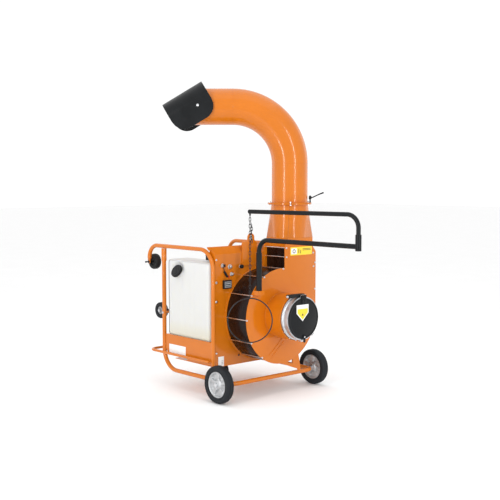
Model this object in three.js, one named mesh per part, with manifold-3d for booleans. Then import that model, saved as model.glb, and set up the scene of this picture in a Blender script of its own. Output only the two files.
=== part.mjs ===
// Petrol-driven debris loader: a suction blower on a wheeled tube frame, with a swivelling spout,
// a tilting hood and a two-part boom that carries a hose ring.
// Millimetres, +Z up. While the parts are placed, the origin is on the ground midway between the
// front wheels, +X is the machine's right and -Y its front. At the end the whole group is shifted
// so that its origin is the middle of the underside of its bounding box.
import * as THREE from "three";
import { ConvexGeometry } from "three/addons/geometries/ConvexGeometry.js";
import { mergeVertices } from "three/addons/utils/BufferGeometryUtils.js";
import Module from "manifold-3d";

const wasm = await Module();
wasm.setup();

// ---- driving dimensions ----
const GAP = 0.3; // between pieces that touch
const SHEET = 4; // folded panels
const WHEEL_R = 125;
const WHEEL_W = 58;
const TRACK = 888; // between the middles of the front wheels
const FRAME_X = 378; // side tubes, from the middle
const FRAME_FRONT = -57;
const FRAME_REAR = 680;
const FRAME_Z = 125;
const TUBE_R = 15;
const TOP_TUBE_R = 14.5;
const TOP_TUBE_Z = 996;
const TOP_BEND = 135; // where each upright turns back
const POST_Y = 137; // front upright of each top frame
const HANDLE_Y = 855;
const BAY_FRONT = POST_Y + 16; // what lies behind the uprights starts here
const WALL_FRONT = 134; // front face of the engine bay's wall
const WALL_T = 5;
const WALL_HALF = FRAME_X - TOP_TUBE_R - GAP;
const WALL_BOTTOM = 205;
const WALL_BEND = 967;
const WALL_TOP = 1015;
const DECK_Z = 435;
const SHELF_Z = 375;
const FAN_X = 45; // fan axis, along Y
const FAN_Z = 545;
const PLATE_FRONT = -80; // front face of the volute's front plate
const PLATE_T = 4;
const VOLUTE_X = 51; // middle of the round plates and liner
const VOLUTE_Z = 538;
const PLATE_R = 327;
const REAR_PLATE_Y = WALL_FRONT - GAP - PLATE_T;
const LINER_R = 317;
const LINER_RIGHT = 361; // where it straightens on the duct's side
const LINER_T = 5;
const LINER_BEND_Z = 965; // where the liner and the plates leave the duct's line
const SHAFT_HOLE_R = 30;
const ROD_R = 4;
const ROD_PITCH_R = 322;
const DUCT_LEFT = 105;
const DUCT_RIGHT = 345;
const DUCT_SKIRT_Z = 1000;
const DUCT_TOP = 1065;
const SPOUT_X = (DUCT_LEFT + DUCT_RIGHT) / 2;
const SPOUT_Y = 28;
const PIPE_R = 125;
const PIPE_T = 3;
const FLANGE_R = 152;
const FLANGE_Z = 1300; // face between the duct's flange and the spout's
const ELBOW_START = 1574;
const ELBOW_R = 392;
const SPOUT_Z = ELBOW_START + ELBOW_R; // height of the level run
const SPOUT_TURN = 138; // degrees from +X to the spout's mouth
const HOOD_PIVOT = 630; // from the spout's swivel axis
const HOOD_TILT = 31; // degrees, mouth down
const HOOD_HALF = 139;
const HOOD_T = 5;
const NECK_R = 155;
const NECK_FRONT = -230;
const RING_FRONT = -288;
const RING_R = 150;
const BOOM_X = -190;
const BOOM_Y = -110;
const BOOM_FOOT = 734;
const ARM_Z = 1070;
const ELBOW_Y = -972;
const UPPER_ARM_Z = 1259;
const TIP_X = -306;
const TIP_Y = -150;
const CHAIN_TOP = 1228;
const CHAIN_END = 702;
const HOOP_R = 144.5;
const HOOP_ROD_R = 4;
const ROLLER_R = 56;
const ROLLER_W = 42;
const ROLLER_X = 327;
const UPPER_ROLLER = [860, 873]; // Y and Z of its axle
const LOWER_ROLLER = [782, 523];
const AXLE_R = 8;
const BORE_R = 8.4;
const CASTOR_Y = 470;
const CASTOR_TRAIL = 40;
const CASTOR_R = 78;
const FLOOR_Z = 213;
const TANK = { x: [-398, -215], y: [157, 616], z: [SHELF_Z + GAP, 912] };
const CAP_TILT = 32; // degrees that the filler cap looks up from -X
const CAP_SEAT = [-399, 494, 828];

// ---- finishes ----
const paint = (color, roughness, metalness) =>
  new THREE.MeshStandardMaterial({ color, roughness, metalness });
const ORANGE = () => paint(0xe8781e, 0.35, 0.1);
const BLACK = () => paint(0x1d1f21, 0.5, 0.2);
const ZINC = () => paint(0xb9bcbe, 0.35, 0.9);
const RUBBER = () => paint(0x25272a, 0.85, 0);
const ALLOY = () => paint(0xa8abae, 0.45, 0.85);
const TANK_WHITE = () => paint(0xecebe6, 0.5, 0);
const LINER_BROWN = () => paint(0x261a17, 0.4, 0);

const machine = new THREE.Group();
const add = (name, geometry, material, parent = machine) => {
  const mesh = new THREE.Mesh(geometry, material);
  mesh.name = name;
  parent.add(mesh);
  return mesh;
};

// ---- solids ----
const vec = (p) => new THREE.Vector3(...p);

function solid(geometry) {
  const bare = geometry.clone();
  bare.deleteAttribute("normal");
  bare.deleteAttribute("uv");
  const merged = mergeVertices(bare, 1e-4);
  return new wasm.Manifold(
    new wasm.Mesh({
      numProp: 3,
      vertProperties: merged.attributes.position.array,
      triVerts: new Uint32Array(merged.index.array),
    }),
  );
}

function geometryOf(manifold) {
  const mesh = manifold.getMesh();
  const geometry = new THREE.BufferGeometry();
  geometry.setAttribute("position", new THREE.BufferAttribute(mesh.vertProperties, 3));
  geometry.setIndex(new THREE.BufferAttribute(mesh.triVerts, 1));
  return geometry;
}

const join = (first, ...rest) =>
  geometryOf(rest.reduce((whole, piece) => whole.add(solid(piece)), solid(first)));
const cut = (first, ...rest) =>
  geometryOf(rest.reduce((whole, piece) => whole.subtract(solid(piece)), solid(first)));

function box(x, y, z) {
  const block = new THREE.BoxGeometry(x[1] - x[0], y[1] - y[0], z[1] - z[0]);
  return block.translate((x[0] + x[1]) / 2, (y[0] + y[1]) / 2, (z[0] + z[1]) / 2);
}

// A round bar between two points.
function bar(start, end, radius, sides = 16) {
  const a = vec(start);
  const b = vec(end);
  const rod = new THREE.CylinderGeometry(radius, radius, a.distanceTo(b), sides);
  const turn = new THREE.Quaternion().setFromUnitVectors(
    new THREE.Vector3(0, 1, 0),
    b.clone().sub(a).normalize(),
  );
  const middle = a.add(b).multiplyScalar(0.5);
  return rod.applyQuaternion(turn).translate(middle.x, middle.y, middle.z);
}

// A ring or a bushed wheel turned about an axis: profile points are [radius, along].
function turned(profile, axis, centre, sides = 32) {
  const points = [...profile, profile[0]].map(([r, h]) => new THREE.Vector2(r, h));
  const shape = new THREE.LatheGeometry(points, sides);
  const turn = new THREE.Quaternion().setFromUnitVectors(
    new THREE.Vector3(0, 1, 0),
    vec(axis).normalize(),
  );
  return shape.applyQuaternion(turn).translate(...centre);
}

// Corner points with a bend radius each, turned into points along lines and arcs.
function bent(corners, step) {
  const points = [vec(corners[0])];
  for (let i = 1; i < corners.length - 1; i++) {
    const [x, y, z, radius] = corners[i];
    const here = new THREE.Vector3(x, y, z);
    const into = here.clone().sub(vec(corners[i - 1].slice(0, 3))).normalize();
    const out = vec(corners[i + 1].slice(0, 3)).sub(here).normalize();
    const angle = into.angleTo(out);
    const reach = radius * Math.tan(angle / 2);
    const first = here.clone().addScaledVector(into, -reach);
    const inward = out.clone().addScaledVector(into, -out.dot(into)).normalize();
    const centre = first.clone().addScaledVector(inward, radius);
    const count = Math.max(2, Math.ceil(THREE.MathUtils.radToDeg(angle) / step));
    for (let k = 0; k <= count; k++) {
      const turn = (angle * k) / count;
      points.push(
        centre
          .clone()
          .addScaledVector(into, radius * Math.sin(turn))
          .addScaledVector(inward, -radius * Math.cos(turn)),
      );
    }
  }
  points.push(vec(corners[corners.length - 1].slice(0, 3)));
  return points;
}

// A route whose even steps fall exactly on the given points.
class Route extends THREE.Curve {
  constructor(points) {
    super();
    this.points = points;
  }
  getPoint(t) {
    const place = t * (this.points.length - 1);
    const i = Math.min(Math.floor(place + 1e-6), this.points.length - 2);
    return this.points[i].clone().lerp(this.points[i + 1], place - i);
  }
  getPointAt(u) {
    return this.getPoint(u);
  }
  getTangentAt(u) {
    const last = this.points.length - 1;
    const i = Math.round(u * last);
    const direction = (a) => this.points[a + 1].clone().sub(this.points[a]).normalize();
    if (i === 0) return direction(0);
    if (i === last) return direction(last - 1);
    return direction(i - 1).add(direction(i)).normalize();
  }
}

// A tube along bent corners; with a bore it is hollow and open at both ends.
function tube(corners, radius, { bore = 0, sides = 12, step = 22.5 } = {}) {
  const section = new THREE.Shape().absarc(0, 0, radius, 0, 2 * Math.PI, false);
  if (bore) section.holes.push(new THREE.Path().absarc(0, 0, bore, 0, 2 * Math.PI, true));
  const points = bent(corners, step);
  return new THREE.ExtrudeGeometry(section, {
    steps: points.length - 1,
    curveSegments: sides / 2, // an arc gets two segments for each
    extrudePath: new Route(points),
  });
}

// An outline in X and Z, given thickness along Y from y to y + thickness.
function platedY(shape, y, thickness, curveSegments = 16) {
  const plate = new THREE.ExtrudeGeometry(shape, {
    depth: thickness,
    bevelEnabled: false,
    curveSegments,
  });
  return plate.rotateX(Math.PI / 2).translate(0, y + thickness, 0);
}

// An outline in Y and Z, given thickness along X from x to x + thickness.
function platedX(shape, x, thickness, curveSegments = 6) {
  const plate = new THREE.ExtrudeGeometry(shape, {
    depth: thickness,
    bevelEnabled: false,
    curveSegments,
  });
  return plate.rotateX(Math.PI / 2).rotateZ(Math.PI / 2).translate(x, 0, 0);
}

const outline = (points) => new THREE.Shape(points.map(([a, b]) => new THREE.Vector2(a, b)));
const mirrored = (corners) => corners.map(([x, y, z, r]) => (r ? [-x, y, z, r] : [-x, y, z]));
const SIDES = { left: -1, right: 1 };

// ---- tube frame ----
const SLEEVE = { z: [890, 980], r: TUBE_R + 3.5 }; // on each rear upright, under the top tube
const EAR_HALF_T = 3; // flat ears that carry the roller axles
const AXLE_INNER = ROLLER_X - ROLLER_W / 2 - 6;
const UPPER_AXLE_OUTER = 414;

function baseFrame() {
  const [reach, front] = [140, 60]; // bend radii at the rear and the front corners
  const head = SLEEVE.z[0] + 15;
  const loop = tube(
    [
      [-FRAME_X, FRAME_REAR, head],
      [-FRAME_X, FRAME_REAR, FRAME_Z, reach],
      [-FRAME_X, FRAME_FRONT, FRAME_Z, front],
      [FRAME_X, FRAME_FRONT, FRAME_Z, front],
      [FRAME_X, FRAME_REAR, FRAME_Z, reach],
      [FRAME_X, FRAME_REAR, head],
    ],
    TUBE_R,
  );
  const extras = Object.values(SIDES).flatMap((side) => {
    const x = side * FRAME_X;
    const [y, z] = LOWER_ROLLER;
    return [
      bar([x, FRAME_REAR, SLEEVE.z[0]], [x, FRAME_REAR, SLEEVE.z[1]], SLEEVE.r),
      bar([x, FRAME_REAR, z], [side * AXLE_INNER, FRAME_REAR, z], AXLE_R, 12),
      bar([side * (AXLE_INNER - 3), FRAME_REAR - 9, z], [side * (AXLE_INNER - 3), y + 12, z], 9, 4),
      bar([side * (AXLE_INNER - 3), y, z], [side * (ROLLER_X + ROLLER_W / 2 + 5), y, z], AXLE_R, 12),
    ];
  });
  return join(loop, ...extras);
}

function topFrame(side) {
  const handle = 92; // bend radius
  const [y, z] = UPPER_ROLLER;
  const corners = [
    [-FRAME_X, POST_Y, FRAME_Z + TUBE_R + GAP],
    [-FRAME_X, POST_Y, TOP_TUBE_Z, TOP_BEND],
    [-FRAME_X, HANDLE_Y, TOP_TUBE_Z, handle],
    [-FRAME_X, HANDLE_Y, z + 25],
  ];
  const x = side * FRAME_X;
  return join(
    tube(side < 0 ? corners : mirrored(corners), TOP_TUBE_R),
    box([x - EAR_HALF_T, x + EAR_HALF_T], [y - 14, y + 14], [z - 14, z + 34]),
    bar([side * UPPER_AXLE_OUTER, y, z], [side * AXLE_INNER, y, z], AXLE_R, 12),
  );
}

add("base_frame", baseFrame(), ORANGE());
for (const [name, side] of Object.entries(SIDES)) {
  add(`top_frame_${name}`, topFrame(side), ORANGE());
}

const FOOT_BAR = { x: 406, z: 244, front: 150, rear: 825, radius: 9.5 };
add(
  "foot_bar",
  tube(
    [
      [-FOOT_BAR.x, FOOT_BAR.front, FOOT_BAR.z],
      [-FOOT_BAR.x, FOOT_BAR.rear, FOOT_BAR.z, 60],
      [FOOT_BAR.x, FOOT_BAR.rear, FOOT_BAR.z, 60],
      [FOOT_BAR.x, FOOT_BAR.front, FOOT_BAR.z],
    ],
    FOOT_BAR.radius,
  ),
  ORANGE(),
);

// ---- engine bay: wall, shelf, deck and floor ----
const START = { x: -235, z: 879, r: 11 };
const STOP = { x: -218, z: 827, r: 9 };
const CHOKE = { x: -143, z: 875, r: 6 };
const throughWall = ({ x, z, r }, [front, back], radius = r, sides = 16) =>
  bar([x, front, z], [x, back, z], radius, sides);

function frontWall() {
  const slope = WALL_TOP - WALL_BEND;
  const lip = WALL_T * Math.SQRT1_2;
  const profile = outline([
    [WALL_FRONT, WALL_BOTTOM],
    [WALL_FRONT + WALL_T, WALL_BOTTOM],
    [WALL_FRONT + WALL_T, WALL_BEND - WALL_T * Math.tan(Math.PI / 8)],
    [WALL_FRONT + slope + lip, WALL_TOP - lip],
    [WALL_FRONT + slope, WALL_TOP],
    [WALL_FRONT, WALL_BEND],
  ]);
  const clear = [WALL_FRONT - 5, WALL_FRONT + 15];
  const holes = [START, STOP, CHOKE].map((knob) => throughWall(knob, clear, knob.r + 0.5));
  const shaftHole = throughWall({ x: FAN_X, z: FAN_Z }, [WALL_FRONT - 14, WALL_FRONT + 16], SHAFT_HOLE_R, 24);
  const sheet = cut(platedX(profile, -WALL_HALF, 2 * WALL_HALF), ...holes, shaftHole);
  // the sloping top runs out over both tubes, and a cheek closes the corner beside each bend
  const topHalf = FRAME_X + TOP_TUBE_R;
  const over = outline([
    [WALL_FRONT + 30, WALL_BEND + 30],
    [WALL_FRONT + slope, WALL_TOP],
    [WALL_FRONT + slope + lip, WALL_TOP - lip],
    [WALL_FRONT + 30 + lip, WALL_BEND + 30 - lip],
  ]);
  const bendY = POST_Y + TOP_BEND;
  const bendZ = TOP_TUBE_Z - TOP_BEND;
  const alongBend = [170, 158, 146, 134, 125].map((degrees) => {
    const turn = THREE.MathUtils.degToRad(degrees);
    return [bendY + TOP_BEND * Math.cos(turn), bendZ + TOP_BEND * Math.sin(turn)];
  });
  const cheek = outline([
    [WALL_FRONT + 3, bendZ + 20],
    [WALL_FRONT + 3, WALL_BEND],
    [WALL_FRONT + slope + 2, WALL_TOP - 3],
    ...alongBend.reverse(),
  ]);
  return join(
    sheet,
    platedX(over, -topHalf, 2 * topHalf),
    platedX(cheek, -WALL_HALF, SHEET),
    platedX(cheek, WALL_HALF - SHEET, SHEET),
  );
}
add("front_wall", frontWall(), ORANGE());

// Raised channel on the wall with the lifting eye at its head.
function liftEye() {
  const [left, right, foot, shoulder, corner] = [-126, 5, 878, 1045, 20];
  const eye = { x: -47, z: 1068, r: 30, hole: 15 };
  const thickness = 8;
  const shape = new THREE.Shape();
  shape.moveTo(left, foot);
  shape.lineTo(right, foot);
  shape.lineTo(right, shoulder - corner);
  shape.absarc(right - corner, shoulder - corner, corner, 0, Math.PI / 2, false);
  shape.lineTo(eye.x + eye.r + 4, shoulder);
  shape.lineTo(eye.x + eye.r, eye.z + 2);
  shape.absarc(eye.x, eye.z, eye.r, 0, Math.PI, false);
  shape.lineTo(eye.x - eye.r - 4, shoulder);
  shape.lineTo(left, shoulder);
  shape.holes.push(new THREE.Path().absarc(eye.x, eye.z, eye.hole, 0, 2 * Math.PI, true));
  return platedY(shape, WALL_FRONT - GAP - thickness, thickness, 12);
}
add("lift_eye", liftEye(), ORANGE());

const SHELF = { x: [-380, -201], foot: 215, step: [420, 240], back: 640 }; // step: Y and Z
function tankShelf() {
  const rear = FRAME_REAR - 16;
  const side = outline([
    [BAY_FRONT, SHELF.foot],
    [SHELF.step[0], SHELF.foot],
    SHELF.step,
    [rear - 24, SHELF.step[1]],
    [rear, SHELF.step[1] + 35],
    [rear, SHELF_Z],
    [BAY_FRONT, SHELF_Z],
  ]);
  const [left, right] = SHELF.x;
  return join(
    platedX(side, left, SHEET),
    box([left, right], [BAY_FRONT, rear - 14], [SHELF_Z - 5, SHELF_Z]),
    box([right - SHEET, right], [BAY_FRONT, TANK.y[1]], [SHELF_Z - 5, SHELF.back]),
  );
}
add("tank_shelf", tankShelf(), ORANGE());

const DECK = { x: [-195, 375], rear: 600, floorRear: 560 };
function engineDeck() {
  const [left, right] = DECK.x;
  return join(
    box([left, right], [BAY_FRONT, DECK.rear], [DECK_Z - 6, DECK_Z]),
    box([left, left + SHEET], [BAY_FRONT, DECK.floorRear], [FLOOR_Z + GAP, DECK_Z]),
    box([right - SHEET, right], [BAY_FRONT, DECK.rear], [SHELF.foot, DECK_Z]),
  );
}
add("engine_deck", engineDeck(), ORANGE());

const PAN = { x: [SHELF.x[0] + SHEET + GAP, DECK.x[1] - SHEET - GAP], z: [FLOOR_Z - 5, FLOOR_Z] };
add("floor_pan", box(PAN.x, [BAY_FRONT, DECK.floorRear], PAN.z), ORANGE());

// ---- fuel tank and cap ----
function roundedBlock({ x, y, z }, radius, bevel) {
  const shape = new THREE.Shape();
  const [y0, y1] = [y[0] + bevel, y[1] - bevel];
  const [z0, z1] = [z[0] + bevel, z[1] - bevel];
  shape.moveTo(y0 + radius, z0);
  shape.absarc(y1 - radius, z0 + radius, radius, -Math.PI / 2, 0, false);
  shape.absarc(y1 - radius, z1 - radius, radius, 0, Math.PI / 2, false);
  shape.absarc(y0 + radius, z1 - radius, radius, Math.PI / 2, Math.PI, false);
  shape.absarc(y0 + radius, z0 + radius, radius, Math.PI, 1.5 * Math.PI, false);
  const block = new THREE.ExtrudeGeometry(shape, {
    depth: x[1] - x[0] - 2 * bevel,
    bevelThickness: bevel,
    bevelSize: bevel,
    bevelSegments: 2,
    curveSegments: 4,
  });
  return block.rotateX(Math.PI / 2).rotateZ(Math.PI / 2).translate(x[0] + bevel, 0, 0);
}

const capAxis = new THREE.Vector3(
  -Math.cos(THREE.MathUtils.degToRad(CAP_TILT)),
  0,
  Math.sin(THREE.MathUtils.degToRad(CAP_TILT)),
);
const alongCap = (distance) => vec(CAP_SEAT).addScaledVector(capAxis, distance).toArray();
// The tank's shoulder is hollowed to a sloping seat, and the filler neck stands on it.
const tankBody = cut(roundedBlock(TANK, 26, 8), bar(alongCap(-6), alongCap(90), 56, 24));
add("fuel_tank", join(tankBody, bar(alongCap(-30), alongCap(2), 38, 20)), TANK_WHITE());
add("fuel_cap", bar(alongCap(2 + GAP), alongCap(24), 46, 24), BLACK());

// ---- controls on the wall ----
const BUTTON_Y = [WALL_FRONT - 16, WALL_FRONT + 16];
add("start_button", throughWall(START, BUTTON_Y), ZINC());
add("stop_button", throughWall(STOP, BUTTON_Y), ZINC());
add(
  "choke_knob",
  join(
    throughWall(CHOKE, [WALL_FRONT - 28, WALL_FRONT - 8], 14),
    throughWall(CHOKE, [WALL_FRONT - 14, WALL_FRONT + 41], CHOKE.r, 12),
  ),
  BLACK(),
);
const KEY = { x: -300, z: 890, r: 9, bow: 12 };
add(
  "ignition_key",
  join(
    throughWall(KEY, [WALL_FRONT - 16, WALL_FRONT - GAP]),
    box([KEY.x - 3, KEY.x + 3], [WALL_FRONT - 34, WALL_FRONT - 15], [KEY.z - KEY.bow, KEY.z + KEY.bow]),
  ),
  BLACK(),
);
add("hour_meter", box([-300, -230], [WALL_FRONT - 18, WALL_FRONT - GAP], [732, 790]), BLACK());
add("electrical_box", box([-340, -140], [WALL_FRONT + 8, WALL_FRONT + 128], [920, 962]), BLACK());

// ---- volute ----
const volutePoint = (radius, degrees) => [
  VOLUTE_X + radius * Math.cos(THREE.MathUtils.degToRad(degrees)),
  VOLUTE_Z + radius * Math.sin(THREE.MathUtils.degToRad(degrees)),
];

function voluteOutline(hole) {
  const shoulder = 75; // left edge of the flange beside the duct
  const meet = Math.acos((shoulder - VOLUTE_X) / PLATE_R);
  const shape = new THREE.Shape();
  shape.moveTo(VOLUTE_X + PLATE_R, LINER_BEND_Z);
  shape.lineTo(DUCT_RIGHT, 1005);
  shape.lineTo(DUCT_RIGHT, DUCT_TOP);
  shape.lineTo(DUCT_LEFT, DUCT_TOP);
  shape.lineTo(shoulder, 1003);
  shape.absarc(VOLUTE_X, VOLUTE_Z, PLATE_R, meet, 2 * Math.PI, false);
  shape.holes.push(new THREE.Path().absarc(FAN_X, FAN_Z, hole, 0, 2 * Math.PI, true));
  return shape;
}
add(
  "volute_front_plate",
  platedY(voluteOutline(140), PLATE_FRONT, PLATE_T, 24),
  ORANGE(),
);

// The rear plate carries the spacer rods that hold the front plate.
const RODS = [
  ...[180, 150, 121, 88, 209, 235, -25].map((degrees) => volutePoint(ROD_PITCH_R, degrees)),
  [92, 937],
  [90, 1000],
  [350.5, 955],
  [355, 860],
];
function rearPlate() {
  const front = PLATE_FRONT + PLATE_T + GAP;
  const rods = RODS.map(([x, z]) => bar([x, front, z], [x, REAR_PLATE_Y + 2, z], ROD_R, 10));
  // its right edge stops short of the upright beside it
  const edge = box([WALL_HALF, WALL_HALF + 50], [100, 150], [200, 1100]);
  return join(cut(platedY(voluteOutline(SHAFT_HOLE_R), REAR_PLATE_Y, PLATE_T, 24), edge), ...rods);
}
add("volute_rear_plate", rearPlate(), ORANGE());

function liner() {
  const top = DUCT_SKIRT_Z - GAP;
  // one face of the sheet: up the duct's left side, round the fan and up its right side
  const face = (inset) => {
    const radius = LINER_R - inset;
    const left = DUCT_LEFT + inset;
    const right = LINER_RIGHT - inset;
    const start = Math.acos((left - VOLUTE_X) / radius);
    const end = 2 * Math.PI - Math.acos((right - VOLUTE_X) / radius);
    const arc = new THREE.Path();
    arc.absarc(VOLUTE_X, VOLUTE_Z, radius, start, end, false);
    const points = arc.getPoints(48).map(({ x, y }) => [x, y]);
    const climb = [
      [right, VOLUTE_Z + 80],
      [DUCT_RIGHT - inset, LINER_BEND_Z],
      [DUCT_RIGHT - inset, top],
    ];
    return [[left, top], ...points, ...climb];
  };
  const shape = outline([...face(0), ...face(LINER_T).reverse()]);
  const front = PLATE_FRONT + PLATE_T + GAP;
  return platedY(shape, front, REAR_PLATE_Y - GAP - front);
}
add("volute_liner", liner(), LINER_BROWN());

// Bracket that stands the volute on the front cross tube.
function voluteFoot() {
  const tubeTop = FRAME_Z + TUBE_R + 1.5;
  const shape = outline([
    [30, 216],
    [205, 153],
    [205, tubeTop],
    [238, tubeTop],
    [214, 262],
    [30, 262],
  ]);
  const slot = [
    [115, 206],
    [160, 196],
    [160, 226],
    [115, 222],
  ];
  shape.holes.push(new THREE.Path(slot.map(([x, z]) => new THREE.Vector2(x, z))));
  const y = PLATE_FRONT + PLATE_T + GAP;
  const around = [VOLUTE_X, VOLUTE_Z];
  const round = bar([around[0], -90, around[1]], [around[0], -60, around[1]], LINER_R + 1, 64);
  return cut(platedY(shape, y, 3.4), round);
}
add("volute_foot", voluteFoot(), ORANGE());

// Square-to-round duct: a flat skirt between the plates, a taper above them and a flange.
function transition() {
  const skirtY = [PLATE_FRONT + PLATE_T + GAP, REAR_PLATE_Y - GAP];
  const around = (radius, z) =>
    Array.from({ length: 32 }, (_, i) => {
      const turn = (i * Math.PI) / 16;
      return new THREE.Vector3(SPOUT_X + radius * Math.cos(turn), SPOUT_Y + radius * Math.sin(turn), z);
    });
  const corners = (inset, z) => {
    const x = [DUCT_LEFT + inset, DUCT_RIGHT - inset];
    const y = [PLATE_FRONT + inset, WALL_FRONT - GAP - inset];
    return x.flatMap((a) => y.map((b) => new THREE.Vector3(a, b, z)));
  };
  const foot = DUCT_TOP + GAP;
  const outer = new ConvexGeometry([...corners(0, foot), ...around(PIPE_R + 2, FLANGE_Z - 5)]);
  const inner = new ConvexGeometry([...corners(4, foot - 1), ...around(PIPE_R - 2, FLANGE_Z + 1)]);
  const skirt = box([DUCT_LEFT, DUCT_RIGHT], skirtY, [DUCT_SKIRT_Z, foot + 5]);
  const bore = box(
    [DUCT_LEFT + LINER_T, DUCT_RIGHT - LINER_T],
    [skirtY[0] + LINER_T, skirtY[1] - LINER_T],
    [DUCT_SKIRT_Z - 1, foot + 6],
  );
  const collar = bar(
    [SPOUT_X, SPOUT_Y, FLANGE_Z - 7],
    [SPOUT_X, SPOUT_Y, FLANGE_Z],
    FLANGE_R,
    32,
  );
  const whole = solid(outer).add(solid(skirt)).add(solid(collar));
  return geometryOf(whole.subtract(solid(inner)).subtract(solid(bore)));
}
add("discharge_transition", transition(), ORANGE());

// ---- fan ----
function impeller() {
  const blades = Array.from({ length: 8 }, (_, i) =>
    box([55, 225], [-60, 98], [-3, 3])
      .rotateY((i * Math.PI) / 4)
      .translate(FAN_X, 0, FAN_Z),
  );
  return join(
    bar([FAN_X, 96, FAN_Z], [FAN_X, 102, FAN_Z], 225, 32),
    bar([FAN_X, -20, FAN_Z], [FAN_X, 97, FAN_Z], 60, 20),
    bar([FAN_X, 90, FAN_Z], [FAN_X, 151, FAN_Z], 17, 16),
    ...blades,
  );
}
add("fan_impeller", impeller(), BLACK());

// ---- engine behind the wall ----
function engineBlock() {
  const cylinders = Object.values(SIDES).map((side) =>
    box([-52, 52], [190, 340], [40, 215])
      .rotateY((side * Math.PI) / 4)
      .translate(FAN_X, 0, FAN_Z),
  );
  return join(
    box([FAN_X - 115, FAN_X + 115], [152, 400], [DECK_Z + GAP, 640]),
    ...cylinders,
  );
}
add("engine_block", engineBlock(), ALLOY());
add(
  "engine_shroud",
  join(
    bar([FAN_X, 400 + GAP, 570], [FAN_X, 480, 570], 128, 28),
    bar([FAN_X, 475, 570], [FAN_X, 500, 570], 95, 28),
  ),
  BLACK(),
);
add("air_cleaner", roundedBlock({ x: [-55, 145], y: [200, 380], z: [765, 860] }, 20, 6), BLACK());
add(
  "muffler",
  join(
    bar([305, 190, 610], [305, 420, 610], 52, 20),
    bar([305, 300, 610], [305, 300, 700], 15, 12),
  ),
  ZINC(),
);
add("battery", box([170, 350], [330, 460], [FLOOR_Z + GAP, 388]), BLACK());

// ---- inlet ----
add(
  "inlet_neck",
  turned(
    [
      [NECK_R - 4, 0],
      [NECK_R, 0],
      [NECK_R, PLATE_FRONT - GAP - NECK_FRONT],
      [NECK_R - 4, PLATE_FRONT - GAP - NECK_FRONT],
    ],
    [0, 1, 0],
    [FAN_X, NECK_FRONT, FAN_Z],
    32,
  ),
  ORANGE(),
);
function inletRing() {
  const length = NECK_FRONT - GAP - RING_FRONT;
  const ring = turned(
    [
      [RING_R - 14, 0],
      [RING_R - 8, 0],
      [RING_R - 8, length - 16],
      [RING_R, length - 12],
      [RING_R, length],
      [RING_R - 14, length],
    ],
    [0, 1, 0],
    [FAN_X, RING_FRONT, FAN_Z],
    32,
  );
  // hinge bridge on top of the ring
  const bridge = box([FAN_X - 122, FAN_X + 20], [RING_FRONT + 6, -240], [FAN_Z + 132, FAN_Z + 160]);
  const catchBlock = box([FAN_X - 12, FAN_X + 12], [RING_FRONT + 8, -250], [FAN_Z - 158, FAN_Z - 134]);
  return join(ring, bridge, catchBlock);
}
add("inlet_ring", inletRing(), ZINC());

const COVER = { back: RING_FRONT - GAP, front: RING_FRONT - 8, r: 137, hinge: FAN_Z + 152 };
add(
  "inlet_cover",
  join(
    bar([FAN_X, COVER.front, FAN_Z], [FAN_X, COVER.back, FAN_Z], COVER.r, 40),
    box([FAN_X - 25, FAN_X + 20], [COVER.front - 4, COVER.back], [FAN_Z + 100, COVER.hinge + 8]),
  ),
  BLACK(),
);
add(
  "cover_latch",
  box([FAN_X - 9, FAN_X + 9], [COVER.front - 8, COVER.front - GAP], [FAN_Z - 160, FAN_Z - 112]),
  BLACK(),
);

// ---- wheels ----
for (const [name, side] of Object.entries(SIDES)) {
  const x = (side * TRACK) / 2;
  const half = WHEEL_W / 2;
  add(
    `wheel_${name}_tyre`,
    turned(
      [
        [86, -half + 8],
        [92, -half + 2],
        [112, -half],
        [122, -half + 9],
        [WHEEL_R, -half + 20],
        [WHEEL_R, half - 20],
        [122, half - 9],
        [112, half],
        [92, half - 2],
        [86, half - 8],
      ],
      [1, 0, 0],
      [x, 0, WHEEL_R],
      28,
    ),
    RUBBER(),
  );
  add(
    `wheel_${name}_rim`,
    turned(
      [
        [12.5, -26],
        [24, -26],
        [26, -10],
        [76, -10],
        [80, -22],
        [86 - GAP, -22],
        [86 - GAP, 22],
        [80, 22],
        [76, 10],
        [26, 10],
        [24, 28],
        [12.5, 28],
      ],
      [side, 0, 0],
      [x, 0, WHEEL_R],
      28,
    ),
    ALLOY(),
  );
  add(
    `axle_${name}`,
    bar([side * (FRAME_X + TUBE_R + GAP), 0, WHEEL_R], [side * 474, 0, WHEEL_R], 12),
    ZINC(),
  );
}

// ---- castor ----
function castorFork() {
  const leg = outline([
    [CASTOR_Y - 26, 196],
    [CASTOR_Y + 26, 196],
    [CASTOR_Y + CASTOR_TRAIL + 16, CASTOR_R - 6],
    [CASTOR_Y + CASTOR_TRAIL - 14, CASTOR_R - 12],
  ]);
  const axleY = CASTOR_Y + CASTOR_TRAIL;
  return join(
    bar([0, CASTOR_Y, 190], [0, CASTOR_Y, 202 - GAP], 34, 20),
    platedX(leg, -30, 5),
    platedX(leg, 25, 5),
    bar([-34, axleY, CASTOR_R], [34, axleY, CASTOR_R], AXLE_R, 12),
  );
}
add("castor_plate", box([-50, 50], [CASTOR_Y - 45, CASTOR_Y + 45], [202, FLOOR_Z - 5 - GAP]), ZINC());
add("castor_fork", castorFork(), ZINC());

function roller(x, y, z, radius, width) {
  const half = width / 2;
  return turned(
    [
      [BORE_R, -half + 2],
      [radius * 0.6, -half + 4],
      [radius - 8, -half],
      [radius, -half + 8],
      [radius, half - 8],
      [radius - 8, half],
      [radius * 0.6, half - 4],
      [BORE_R, half - 2],
    ],
    [1, 0, 0],
    [x, y, z],
    20,
  );
}
add("castor_wheel", roller(0, CASTOR_Y + CASTOR_TRAIL, CASTOR_R, CASTOR_R, 38), RUBBER());

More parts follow.
